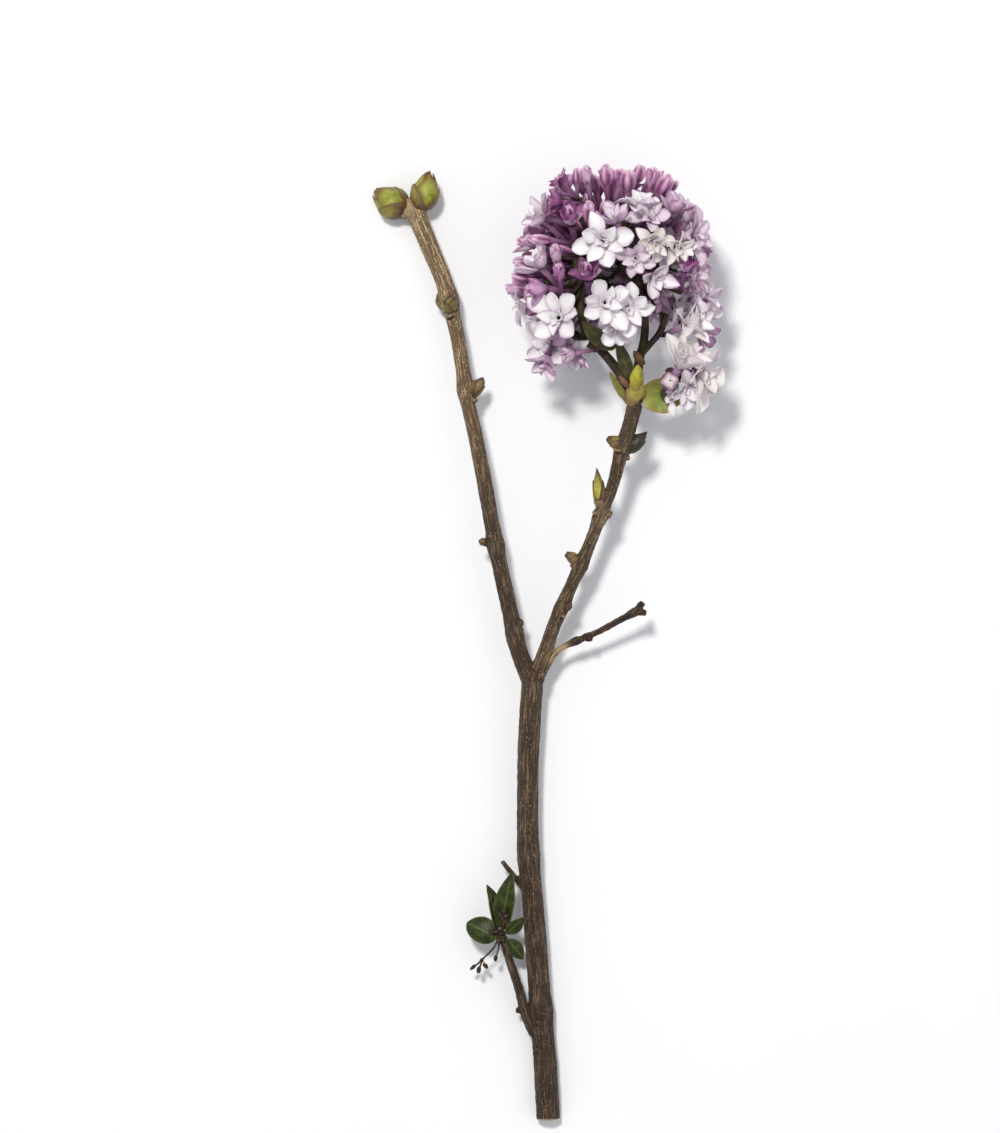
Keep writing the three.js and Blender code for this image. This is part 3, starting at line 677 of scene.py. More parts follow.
# Short outgrowths: from, to, radius at the root, radius at the end.
OUTGROWTHS = {
    "spur": ((-6.6, 88.5, 8.8), (-18.4, 103.4, 11), 1.6, 0.9),
    "low_stub": ((-4, 43, 6.6), (-12.7, 43.9, 9.3), 1.7, 1.2),
    "left_branch_stub": ((-21.6, 229.5, 15.6), (-26.4, 230.4, 17), 1.8, 1.5),
    "left_branch_bump": ((-14, 197.5, 14.6), (-10.4, 198.4, 16.4), 1.7, 1.4),
    "twig_upper_knob": ((34.6, 202.9, 22.2), (37.4, 206.4, 23), 1.6, 1.3),
    "twig_side_knob": ((34.6, 202.9, 22.2), (38.6, 202.2, 22.6), 1.6, 1.2),
    "twig_first_node": ((15.4, 194.4, 18), (16.4, 191, 18), 1.6, 1.4),
    "right_branch_stub": ((20, 240.6, 26), (23.8, 241.2, 27.2), 1.9, 1.7),
    "bud_scar_at_fork": ((-6.2, 170, 13.4), (-2.6, 176.6, 17), 2, 1.5),
    "left_bud_foot": ((-53.6, 362, 7.8), (-58.4, 362.2, 6.8), 3.0, 3.1),
    "right_bud_foot": ((-52.2, 360, 8.4), (-49.9, 364.4, 9.6), 2.8, 2.7),
    "ridge_between_buds": ((-53.6, 360.6, 9.2), (-55.6, 367.4, 10.4), 2.9, 1.1),
}
TERMINAL_FINISH = (BUD_SCALE,) * 6 + (BUD_SCALE_OUTER,) * 2
CUP_FINISH = (BUD_SCALE_TAN, BUD_SCALE_TAN, BUD_SCALE_BROWN, BUD_SCALE_BROWN)
TAN_FINISH = (BUD_SCALE_FOOT, BUD_SCALE_FOOT, BUD_SCALE_BROWN, BUD_SCALE_BROWN)
# The third scale, dark woody brown, is painted shade down one side of the long bud.
LONG_FINISH = (
    BUD_SCALE_LONG, BUD_SCALE_LONG, BUD_SCALE_WOODY, BUD_SCALE_LONG, BUD_SCALE_FOOT, BUD_SCALE_FOOT,
)
# How far up the bud its crosswise pairs of scales reach, from the innermost out.
TERMINAL_SCALES = (1.0, 0.98, 0.9, 0.62)
LONG_SCALES = (1.0, 0.72, 0.3)
SHORT_SCALES = (1.0, 0.7)
# The buds, each in millimetres from the cut end. `reaches` and `finishes` are its scales', and
# `spin` turns it round its own axis, in degrees.
BUDS = {
    "terminal_bud_left": {
        "base": (-57, 362.4, 7), "tip": (-69.8, 370.4, 5.8), "radius": 6.2,
        "reaches": TERMINAL_SCALES, "finishes": TERMINAL_FINISH,
    },
    "terminal_bud_right": {
        "base": (-50.4, 363.2, 9.4), "tip": (-46.9, 377.8, 12.6), "radius": 5.4,
        "reaches": TERMINAL_SCALES, "finishes": TERMINAL_FINISH,
    },
    "left_branch_high_bud": {
        "base": (-39.6, 322.8, 13.4), "tip": (-38.4, 327.6, 19.6), "radius": 3.2,
        "finishes": (BUD_SCALE_OLIVE,), "spin": 60,
    },
    "left_branch_high_bud_behind": {
        "base": (-40.4, 323.6, 10), "tip": (-44.4, 329, 8), "radius": 2.5,
        "finishes": (BUD_SCALE_OLIVE,),
    },
    "left_branch_mid_bud": {
        "base": (-30.6, 288.6, 14.8), "tip": (-25.5, 295.6, 17), "radius": 2.6,
        "finishes": (BUD_SCALE_BROWN,),
    },
    "right_branch_high_bud_left": {
        "base": (29, 268, 31), "tip": (22.8, 271.4, 31.5), "radius": 2.5,
        "finishes": CUP_FINISH, "spin": 50,
    },
    "right_branch_high_bud_right": {
        "base": (31, 266.2, 30), "tip": (38.9, 273.7, 31.5), "radius": 2.9,
        "finishes": (BUD_SCALE_DARK,),
    },
    "right_branch_mid_bud": {
        "base": (20.6, 243.4, 27), "tip": (18.9, 259.3, 30), "radius": 2.45,
        "reaches": LONG_SCALES, "finishes": LONG_FINISH, "spin": -25,
    },
    "right_branch_low_bud": {
        "base": (11.8, 222.4, 22.8), "tip": (6.7, 226, 25), "radius": 2.2,
        "finishes": TAN_FINISH, "spin": 70,
    },
    "right_branch_red_bud": {
        "base": (6, 203.4, 20.4), "tip": (9.2, 206.4, 23.8), "radius": 1.6,
        "finishes": (BUD_SCALE_RED,),
    },
}
# Small brown resting eyes on the stubs.
RESTING_EYES = {
    "right_branch_eye": {"base": (22, 240.9, 26.6), "tip": (25.2, 241.8, 28), "radius": 1.6},
    "left_branch_eye": {"base": (-25.2, 230.1, 16.6), "tip": (-27.6, 230.9, 17.6), "radius": 1.4},
    "fork_eye": {"base": (-3.4, 176, 16.4), "tip": (-1.6, 179, 18), "radius": 1.3},
}
# Patches of young pale bark on old wood, and of bare wood: middle, size in millimetres, strength.
PALE_PATCHES = (
    ((22.6, 237.4, 29), 4.5, 0.6),
    ((20.5, 231, 27), 3, 0.4),
    ((1.5, 185.4, 15.8), 4, 0.5),
)
BARE_PATCHES = (
    ((5.6, 188.4, 17), 2.8, 0.9),
    ((-55, 364, 12), 4, 0.8),
)
OLD_WOOD = 0.7  # the age from which bark can be patched with pale
VOXEL = 0.42  # millimetres: the wood's mesh
FORK_BLEND = 1.2  # millimetres over which two limbs' bark runs together where they meet
GRAIN_SHIFT = 500  # millimetres between one limb's grain and the next's, so that none repeats
CUT_FACE = 0.45  # millimetres from the cut end that are bare wood


def limb_line(limb):
    """A limb's points and radii, in millimetres."""
    points = smooth_line(limb["route"], 1.0)
    radii = [
        stepped(limb["widths"], s) / 2
        + sum(extra * math.exp(-(((s - at) / reach) ** 2)) for at, extra, reach in limb["nodes"])
        for s in np.linspace(0, 1, len(points))
    ]
    return points, radii


def scar_places():
    """The middle of the leaf scar below each bud, on the wood's surface, with the ways along and
    out of the wood there, and its bud's radius."""
    lines = [limb_line(limb) for limb in LIMBS.values()]
    scars = []
    for name, bud in BUDS.items():
        if name.startswith("terminal"):
            continue
        base, radius = bud["base"], bud["radius"]
        best, radii = min(lines, key=lambda line: np.linalg.norm(line[0] - base, axis=1).min())
        nearest = int(np.linalg.norm(best - base, axis=1).argmin())
        here = Vector(best[min(nearest, len(best) - 2)])
        along = (Vector(best[min(nearest + 1, len(best) - 1)]) - Vector(best[nearest - 1])).normalized()
        out = Vector(base) - here
        out = (out - along * out.dot(along)).normalized()
        scar = here + out * radii[nearest] - along * (1.2 + radius * 0.4)
        scars.append((scar, along, out, radius))
    return scars


def bark_survey(piece):
    """For every vertex: its place from the cut end, its place along its limb's grain, the age of
    the bark there, and how clear it is of the next limb, from 0 to 1."""
    count = len(piece.data.vertices)
    place = np.empty(count * 3)
    piece.data.vertices.foreach_get("co", place)
    place = place.reshape(-1, 3) / MM - np.array(CUT_END)
    outside, grains, ages = [], [], []
    for number, limb in enumerate(LIMBS.values()):
        points, radii = limb_line(limb)
        forward = np.gradient(points, axis=0)
        forward /= np.linalg.norm(forward, axis=1)[:, None]
        side = np.cross(forward, (0, 0, 1.0))
        side /= np.linalg.norm(side, axis=1)[:, None]
        up = np.cross(side, forward)
        tree = kdtree.KDTree(len(points))
        for i, point in enumerate(points):
            tree.insert(point, i)
        tree.balance()
        nearest = np.array([tree.find(p)[1] for p in place])
        away = place - points[nearest]
        across = (away * side[nearest]).sum(1)
        above = (away * up[nearest]).sum(1)
        along = (away * forward[nearest]).sum(1)
        reach = np.hypot(np.hypot(across, above), np.maximum(abs(along) - 1, 0))
        outside.append(reach - np.array(radii)[nearest])
        grain = [across, above, nearest + along + GRAIN_SHIFT * number]
        grains.append(np.stack(grain, axis=1))
        steps = np.linspace(0, 1, len(limb["age"]))
        ages.append(np.interp(nearest / len(points), steps, limb["age"]))
    outside = np.array(outside)
    order = outside.argsort(axis=0)
    rows = np.arange(count)
    grain = np.array(grains)[order[0], rows]
    gap = outside[order[1], rows] - outside[order[0], rows]
    weights = np.exp(-np.maximum(outside, 0) / FORK_BLEND)
    age = (weights * np.array(ages)).sum(0) / weights.sum(0)
    return place, grain, age, np.clip(gap / FORK_BLEND, 0, 1)


def bark_relief(grain, age):
    """Broad ribs, fine ridges and warts that run with the grain, in millimetres."""
    relief = np.zeros(len(grain))
    for i, (x, y, s) in enumerate(grain):
        ribs = noise.noise((x * 0.55, y * 0.55, s * 0.035))
        ridges = noise.noise((x * 1.5, y * 1.5, s * 0.11 + 40))
        warts = noise.noise((x * 0.9, y * 0.9, s * 0.5 + 90))
        relief[i] = 0.16 * ribs + 0.17 * ridges + 0.12 * warts * (0.5 + age[i])
    return relief


def scar_relief(place):
    """The curved lip of each leaf scar, up to 1, and the groove below it, down to -1, which the bark's
    finish darkens as painted shadow.
    """
    scar = np.zeros(len(place))
    for middle, along, out, radius in scar_places():
        offset = place - np.array(middle)
        across = offset @ np.array(along.cross(out)) / (radius * 0.85)
        up = offset @ np.array(along) - 0.3 * radius * across**2
        near = np.exp(-(across**4) - (offset @ np.array(out) / 2) ** 2)
        scar += near * (np.exp(-((up / 0.6) ** 2)) - np.exp(-(((up + 1.2) / 0.5) ** 2)))
    return scar


def patch_share(place, middle, size):
    """1 in the middle of a patch, less and less away from it."""
    return np.exp(-((np.linalg.norm(place - np.array(middle), axis=1) / size) ** 2))


def weather(piece):
    """Ridges, grooves and warts as real relief, and the numbers that the bark's finish reads."""
    place, grain, age, clear = bark_survey(piece)
    normals = np.empty(len(place) * 3)
    piece.data.vertices.foreach_get("normal", normals)
    normals = normals.reshape(-1, 3)
    cut = (place[:, 1] < CUT_FACE) * 1.0
    scar = scar_relief(place)
    relief = bark_relief(grain, age) * clear * (1 - cut) + 0.3 * scar
    moved = place + normals * relief[:, None]
    moved = (moved + np.array(CUT_END)) * MM
    moved[:, 2] = np.maximum(moved[:, 2], 0)
    piece.data.vertices.foreach_set("co", moved.ravel())
    piece.data.update()
    for middle, size, strength in PALE_PATCHES:
        age = age - strength * patch_share(place, middle, size) * (age > OLD_WOOD)
    for middle, size, strength in BARE_PATCHES:
        cut = np.maximum(cut, strength * patch_share(place, middle, size))
    layer = piece.data.attributes.new("grain", "FLOAT_VECTOR", "POINT")
    layer.data.foreach_set("vector", grain.astype(np.float32).ravel())
    set_number(piece, "age", age)
    set_number(piece, "scar", scar)
    set_number(piece, "cut", cut)


def make_wood():
    """Limbs, outgrowths and scar lips grown into one skin, then weathered."""
    lines = [limb_line(limb) for limb in LIMBS.values()]
    lines += [([start, end], [root, tip]) for start, end, root, tip in OUTGROWTHS.values()]
    pieces = [tubes("wood", lines, 16)]
    for middle, along, out, radius in scar_places():
        bpy.ops.mesh.primitive_uv_sphere_add(segments=16, ring_count=10, radius=1)
        lip = bpy.context.object
        lip.data.transform(Matrix.Diagonal((radius * 0.65 * MM, 0.8 * MM, 0.6 * MM, 1)))
        lip.data.transform(stand(spot(middle), out, along.cross(out)))
        pieces.append(lip)
    wood = joined(pieces, "wood")
    apply_modifier(wood, "REMESH", mode="VOXEL", voxel_size=VOXEL * MM)
    apply_modifier(wood, "SMOOTH", factor=0.5, iterations=3)
    weather(wood)
    smooth_shading(wood, 180)
    return hand_in(wood, "woody_stem_bark", "bark", "woody_stem", material=BARK)


make_wood()


# ------------------------------------------------------------------ buds
LONG_BUD = 9  # millimetres: a longer bud is pointed, a shorter one round
USUAL_SPIN = 20  # degrees: a bud's turn round its own axis, where none is given
SCALE_HALF_TURN = 92  # degrees that a scale wraps round its bud, to either side


def ovoid(share, blunt):
    """A bud's radius along it, as a share of its widest."""
    return math.sin(math.pi * (0.16 + 0.84 * share**0.85)) ** (0.8 - 0.25 * blunt)


def turned(profile, sides, lobes=0, groove=0.0, crown=0.0):
    """A wall turned round +Z from (radius, height) pairs in millimetres: a grid rolled up, so its
    UV runs round and along it. `lobes` grooves run along it, `groove` their depth as a share, and
    the lobes' tips stand up by `crown` millimetres."""
    bpy.ops.mesh.primitive_grid_add(x_subdivisions=sides, y_subdivisions=len(profile) - 1, size=2)
    wall = bpy.context.object
    for vert in wall.data.vertices:
        angle = math.pi * vert.co.x
        share = (vert.co.y + 1) / 2
        radius, height = profile[round(share * (len(profile) - 1))]
        lobe = (1 - math.cos(lobes * angle)) / 2
        radius *= 1 - groove * lobe * (0.6 + 0.6 * share)
        height += crown * (0.5 - lobe) * share**2
        vert.co = Vector((radius * math.cos(angle), radius * math.sin(angle), height)) * MM
    facing_out(wall)
    smooth_shading(wall, 80)
    return wall


def bud_scale(length, radius, blunt, reach, proud, flare, waves):
    """One scale wrapped round its bud, which stands on +Z. `reach` is how far up the bud it goes,
    `proud` how far it stands off it and `flare` how far its tip does, in millimetres. `blunt` is 1
    for a round bud and 0 for a pointed one."""
    bpy.ops.mesh.primitive_grid_add(x_subdivisions=10, y_subdivisions=14, size=2)
    scale = bpy.context.object
    for vert in scale.data.vertices:
        across = vert.co.x
        share = (vert.co.y + 1) / 2
        half_turn = math.radians(SCALE_HALF_TURN) * (1 - share**1.5) ** (0.6 - 0.25 * blunt) + 0.03
        angle = across * half_turn
        keel = 0.07 * radius * math.exp(-((across / 0.2) ** 2)) * share
        ragged = 0.05 * noise.noise((across * 3, share * 5, waves)) * share
        out = radius * (ovoid(share * reach, blunt) + ragged) + proud * (0.4 + 0.6 * share)
        out += flare * share**8 + keel
        height = share * reach * length * (1 + ragged * 0.6)
        vert.co = Vector((out * math.cos(angle), out * math.sin(angle), height)) * MM
    apply_modifier(scale, "SOLIDIFY", thickness=0.3 * MM, offset=-1)
    return scale


def make_bud(name, bud, rng, *nodes):
    """A bud in crosswise pairs of overlapping scales round a heart, the outer ones shorter."""
    base, radius = Vector(bud["base"]), bud["radius"]
    axis = Vector(bud["tip"]) - base
    length = axis.length
    blunt = 0 if length > LONG_BUD else 1
    finishes = bud.get("finishes", (BUD_SCALE_WOODY,))
    heart = [(radius * ovoid(t, blunt) * 0.93 + 0.01, t * length * 0.97) for t in np.linspace(0, 1, 9)]
    pieces = [turned(heart, 12)]
    pieces[0].data.materials.append(finishes[0])
    for pair, longest in enumerate(bud.get("reaches", SHORT_SCALES)):
        for turn in (0, 180):
            reach = longest * rng.uniform(0.95, 1.0)
            proud = 0.08 + 0.17 * pair
            flare = radius * rng.uniform(0.02, 0.1) * (1 - 0.8 * blunt) * (1 - 0.3 * pair)
            waves = rng.uniform(0, 50)
            scale = bud_scale(length, radius, blunt, reach, proud, flare, waves)
            spin = turn + 90 * pair + bud.get("spin", USUAL_SPIN) + rng.uniform(-9, 9)
            scale.data.transform(Matrix.Rotation(math.radians(spin), 4, "Z"))
            scale.data.materials.append(finishes[(len(pieces) - 1) % len(finishes)])
            pieces.append(scale)
    whole = joined(pieces, name)
    side = Vector((0, 0, 1)) if abs(axis.normalized().z) < 0.8 else Vector((1, 0, 0))
    whole.data.transform(stand(spot(base), axis, side))
    rest_on_floor(whole)
    smooth_shading(whole, 50)
    return hand_in(whole, name + "_scales", "bud_scales", *nodes)


def make_buds():
    """The buds, and the eyes on the stubs, which are the scene's alone."""
    rng = random.Random(11)
    for name, bud in BUDS.items():
        make_bud(name, bud, rng, name)
    for name, eye in RESTING_EYES.items():
        make_bud(name, eye, rng)


make_buds()


# ------------------------------------------------------------------ leaves and foot scales
# `face` is the way the upper side looks, `widest` the share of the length where the leaf is
# widest, `fill` how rounded it is (less is rounder), `foot` how broad it still is at its base, and
# `cup`, `fold` and `arch` how far its edges, its halves and its middle rise, in millimetres.
# `nodes` are what it stands for, where that isn't the node of its own name.
FOOT_SCALES = {
    "scale_front_low": {
        "base": (31.8, 283.6, 36), "tip": (35.4, 293, 41), "width": 7.2, "face": (-0.15, -0.4, 1),
        "widest": 0.58, "cup": -1.2, "fold": -1.1, "arch": 0.6, "foot": 0.5, "material": FOOT_SCALE_TAN,
    },
    "scale_front_high": {
        "base": (34.6, 289.8, 40.6), "tip": (34.8, 299.6, 43.2), "width": 5.6, "face": (0.3, -0.4, 1),
        "widest": 0.42, "cup": -0.8, "fold": -1.3, "arch": 1, "foot": 0.7, "material": FOOT_SCALE,
    },
    "scale_left": {
        "base": (30.6, 284.8, 33.5), "tip": (24, 297, 34), "width": 6.4, "face": (-1, -0.4, 0.5),
        "cup": -1.6, "arch": 1, "foot": 0.7, "material": LEFT_SCALE,
    },
    "scale_right": {
        "base": (36.8, 287.4, 34.4), "tip": (54.2, 289, 37.5), "width": 14.6,
        "face": (0.1, -0.35, 1), "widest": 0.45, "cup": 2.8, "arch": -1.2, "foot": 0.5,
        "material": GREEN_SCALE,
    },
    "scale_right_under": {
        "base": (37.4, 284.6, 31.6), "tip": (54.6, 284.8, 31.4), "width": 8,
        "face": (0.1, -0.8, 0.5), "cup": -1.5, "foot": 0.6, "material": GREEN_SCALE,
    },
    "bract_left": {
        "base": (31.6, 290.6, 38.2), "tip": (27.2, 295.6, 39.6), "width": 2.6, "nodes": (),
        "face": (-0.4, 0.1, 1), "cup": -0.6, "foot": 0.7, "material": BROWN_SCALE,
    },
    "scale_brown": {
        "base": (36.6, 299.4, 40.6), "tip": (33.2, 305, 44), "width": 3.6,
        "face": (-0.3, -0.3, 1), "cup": -0.8, "foot": 0.6, "material": BROWN_SCALE,
    },
}
FOOT_SCALE_THICKNESS = 0.55
LEAF_THICKNESS = 0.4
LEAF_ROWS = 15  # points along a blade before it is smoothed
LEAF_COLUMNS = 8  # faces across it
LEAVES = {
    "leaf_narrow": {
        "base": (32.6, 293.6, 38.5), "tip": (26.3, 310, 47), "width": 5.4,
        "face": (-0.2, -0.2, 1), "fold": 1, "material": BLOOM_LEAF,
    },
    "leaf_broad": {
        "base": (25.6, 306, 41.4), "tip": (12.6, 316.2, 49.5), "width": 7.2,
        "face": (-0.2, -0.3, 1), "fold": 1.2, "arch": 1, "material": BLOOM_LEAF,
    },
    "shoot_leaf_round": {
        "base": (-20.8, 72.8, 12.6), "tip": (-32.4, 78.6, 8.4), "width": 10.8, "fill": 0.55,
        "face": (0.2, 0.2, 1), "cup": 1.2, "arch": 1.4, "material": LEAF,
    },
    "shoot_leaf_folded": {
        "base": (-20.6, 76.6, 13.6), "tip": (-24.4, 94.2, 15), "width": 8.6,
        "face": (0.75, 0.2, 0.7), "fold": 2.6, "material": LEAF,
    },
    "shoot_leaf_long": {
        "base": (-18.2, 77.2, 14.6), "tip": (-14.2, 99.6, 19.5), "width": 8.8,
        "face": (-0.5, -0.2, 1), "fold": 1.8, "arch": 1, "material": LEAF,
    },
    "shoot_leaf_right": {
        "base": (-16.4, 75.4, 14.6), "tip": (-9.6, 81.6, 18.2), "width": 6,
        "face": (0.2, -0.5, 1), "fold": 1, "material": LEAF,
    },
    "shoot_leaf_low": {
        "base": (-16.4, 72.2, 13), "tip": (-10, 64.2, 10), "width": 6.4,
        "face": (0.3, 0.2, 1), "fold": 0.8, "arch": 0.8, "material": LEAF,
    },
}


def make_leaf(name, shape, slot, thickness):
    """A leaf or scale with its own outline, cup and fold, a slightly uneven blade and a thin rim."""
    base, tip = Vector(shape["base"]), Vector(shape["tip"])
    axis = tip - base
    across = axis.cross(Vector(shape["face"])).normalized()
    rise = across.cross(axis).normalized()
    power = math.log(0.5) / math.log(shape.get("widest", 0.42))
    shares = np.linspace(0, 1, LEAF_ROWS)
    foot = shape.get("foot", 0.25)
    fullness = [abs(math.sin(math.pi * t**power)) ** shape.get("fill", 0.8) for t in shares]
    widths = [
        shape["width"] * max(full + foot * (1 - t) ** 3 * (1 - full), 0.05)
        for t, full in zip(shares, fullness)
    ]
    arch = shape.get("arch", 0)
    lifts = [arch * math.sin(math.pi * t) * min(1, 3 * t + 0.2) for t in shares]
    cup, fold = shape.get("cup", 0), shape.get("fold", 0)
    leaf = blade(axis.length, shares, widths, lifts, cup, LEAF_COLUMNS, crease=fold)
    apply_modifier(leaf, "SUBSURF", levels=1, render_levels=1)
    for vert in leaf.data.vertices:
        across_mm, along_mm = vert.co.x / MM, vert.co.y / MM
        edge = abs(across_mm) / shape["width"] * 2
        waves = noise.noise((across_mm * 0.12, along_mm * 0.28, len(name)))
        vert.co.z += 0.7 * waves * min(edge, 1) * MM
    apply_modifier(leaf, "SOLIDIFY", thickness=thickness * MM, offset=0)
    turn = Matrix((across, axis.normalized(), rise)).transposed().to_4x4()
    leaf.data.transform(Matrix.Translation(spot(base)) @ turn)
    smooth_shading(leaf, 70)
    nodes = shape.get("nodes", (name,))
    return hand_in(leaf, name + "_blade", slot, *nodes, material=shape["material"])


def make_leaves():
    """The scales and the leaves, each a piece of its own."""
    for name, shape in FOOT_SCALES.items():
        make_leaf(name, shape, "bloom_scales", FOOT_SCALE_THICKNESS)
    for name, shape in LEAVES.items():
        make_leaf(name, shape, "leaf", LEAF_THICKNESS)


make_leaves()


# ------------------------------------------------------------------ stalks and dried remains
SHOOT_NECK = Vector((-18, 71.6, 12.4))
SHOOT_TIP = Vector((-18.6, 74.6, 13.2))
# Dried threads, each ending in a knob: a hanging one with a cluster at its end, another beside it,
# and two clusters standing over the leaves.
DRIED_THREADS = [
    ((-19.2, 73.6, 13.4), (-26.4, 64.2, 11.8)), ((-26.4, 64.2, 11.8), (-29.9, 61.2, 11)),
    ((-26.4, 64.2, 11.8), (-27.6, 60.2, 11)), ((-26.4, 64.2, 11.8), (-25, 61.9, 11.2)),
    ((-19.4, 72.6, 13), (-20.9, 65, 12.4)),
    ((-18.4, 75.6, 14.4), (-18, 84.2, 19.8)), ((-18.2, 81, 18), (-19, 82.6, 19.2)),
    ((-18.2, 81, 18), (-17, 82.2, 19.6)), ((-18, 76, 14.6), (-15.6, 80.6, 18.4)),
    ((-17, 78, 16), (-16.9, 80.2, 18.6)), ((-19.2, 75, 14), (-22.8, 75.8, 15.6)),
]
LOOSE_THREADS = 9  # more of them, short ones at the shoot's tip


def make_shoot_stalks():
    """Short leaf stalks that gather at the side shoot's tip."""
    gathering = SHOOT_TIP - Vector((0, 0, 1))
    lines = []
    for name, shape in LEAVES.items():
        if name.startswith("shoot"):
            base, tip = Vector(shape["base"]), Vector(shape["tip"])
            inside = base + (tip - base).normalized() * 1.5
            lines.append(([gathering, base, inside], [1.0, 0.75, 0.5]))
    lines.append(([SHOOT_NECK, SHOOT_TIP], [1.6, 1.2]))
    stalks = tubes("shoot_leaf_stalks", lines, 10)
    smooth_shading(stalks, 80)
    hand_in(stalks, "shoot_leaf_stalks", "leaf", material=LEAF)


def make_dried_remains():
    """Dried threads, knobs and capsules among the side shoot's leaves."""
    rng = random.Random(21)
    start = SHOOT_TIP + Vector((0.4, 0.2, 0.6))
    routes = list(DRIED_THREADS)
    for _ in range(LOOSE_THREADS):
        way = Vector((rng.uniform(-1, 1), rng.uniform(-1, 0.9), rng.uniform(0.1, 1))).normalized()
        routes.append((start, start + way * rng.uniform(1.8, 4.2)))
    threads = []
    knobs = []
    for foot, end in routes:
        foot, end = Vector(foot), Vector(end)
        way = (end - foot).normalized()
        bow = Vector((0.5, rng.uniform(-0.5, 0.5), 0.8)) * (end - foot).length / 9
        threads.append(([foot, (foot + end) / 2 + bow, end], [0.46, 0.34, 0.3]))
        bpy.ops.mesh.primitive_uv_sphere_add(segments=10, ring_count=6, radius=MM)
        knob = bpy.context.object
        size = rng.uniform(0.75, 1.15)
        knob.data.transform(Matrix.Diagonal((size, size * rng.uniform(0.6, 1), size * 1.5, 1)))
        knob.data.transform(stand(spot(end), way, (0.3, 0.2, 1)))
        knobs.append(knob)
    remains = joined([tubes("threads", threads, 6), *knobs], "shoot_dried_remains")
    for vert in remains.data.vertices:
        shake = noise.noise(vert.co * 900)
        vert.co += vert.normal * shake * 0.35 * MM
    smooth_shading(remains, 50)
    hand_in(remains, "shoot_dried_remains", "bark", material=DRIED)


make_shoot_stalks()
make_dried_remains()


# ------------------------------------------------------------------ florets
TUBE_LENGTH = 10.0
# (radius, height) from the floret's mouth: down its tube, and the green cup at the tube's foot.
TUBE_WALL = [(0.75, -TUBE_LENGTH), (0.95, -7), (1.1, -3.5), (1.3, -0.9), (1.7, 0.1)]
CALYX_WALL = [(0.4, -TUBE_LENGTH - 0.9), (1.0, -TUBE_LENGTH), (1.2, -8.6)]
CALYX_SINK = 0.6  # how far below the tube's foot its stalk ends, inside the cup
# Petal outlines: share of the length, and the width there as a share of the widest.
PETAL_OUTLINE = ((0, 0.28), (0.2, 0.46), (0.42, 0.8), (0.62, 1), (0.8, 0.92), (0.93, 0.58), (1, 0.13))
POINTED_OUTLINE = ((0, 0.3), (0.2, 0.58), (0.4, 0.9), (0.6, 1), (0.78, 0.78), (0.92, 0.4), (1, 0.06))

# Petals to draw from: length, width, outline, how far the middle lifts as a share of the length,
# how far the edges rise, twist in degrees, faces across, and how far the tip lifts. Millimetres.
PETALS = {
    "broad": (
        (10.0, 6.4, PETAL_OUTLINE, 0.34, 1.9, 0, 4, 1.0),
        (10.6, 6.0, PETAL_OUTLINE, 0.22, 1.7, 16, 4, -0.8),
        (9.6, 6.6, PETAL_OUTLINE, 0.2, 2.4, -8, 4, 2.4),
        (10.4, 5.8, POINTED_OUTLINE, 0.6, 1.6, -16, 4, -1.8),
    ),
    "inner": (
        (7.6, 4.7, PETAL_OUTLINE, 0.3, 1.2, 10, 4, 1.2),
        (7.0, 4.0, POINTED_OUTLINE, 0.7, 1.1, -16, 2, 0),
        (7.4, 3.4, POINTED_OUTLINE, 0.3, 0.9, 22, 2, 1.0),
    ),
    "pointed": (
        (10.2, 4.9, POINTED_OUTLINE, 0.28, 1.1, 8, 4, 0.6),
        (9.8, 4.4, POINTED_OUTLINE, 0.5, 1.3, -20, 4, -1.2),
    ),
    "tulip": (
        (8.6, 5.0, PETAL_OUTLINE, -0.42, 1.9, 0, 4, 0.9),
        (8.2, 4.2, POINTED_OUTLINE, -0.38, 1.6, 12, 4, 0),
        (8.8, 4.6, POINTED_OUTLINE, -0.45, 1.8, -10, 4, -1.4),
    ),
}
# Closed heads: (radius, height) up the wall in millimetres, how many sides, how many lobes, how
# deep the grooves between them as a share, and how far the lobes' tips stand up.
FLORET_HEADS = {
    "plump": (
        [(1.3, -0.8), (2.4, 0.6), (3.0, 2.4), (3.0, 4.2), (2.5, 5.8), (1.5, 6.9), (0.35, 6.3)],
        24, HEAD_LOBES, 0.3, 1.3,
    ),
    "slim": (
        [(1.2, -0.8), (1.9, 0.8), (2.3, 2.6), (2.3, 4.6), (1.8, 6.4), (1.0, 7.6), (0.15, 7.3)],
        20, HEAD_LOBES, 0.28, 1.1,
    ),
    "core": (
        [(1.4, 3.2), (1.7, 5.2), (1.4, 6.8), (0.8, 7.8), (0.1, 7.7)],
        16, HEAD_LOBES, 0.3, 0.8,
    ),
    "ball": (
        [(1.3, -0.8), (2.4, 0.6), (3.0, 2.4), (3.0, 4.2), (2.6, 5.6), (1.6, 6.5), (0.3, 6.8)],
        24, HEAD_LOBES, 0.14, 0.4,
    ),
}
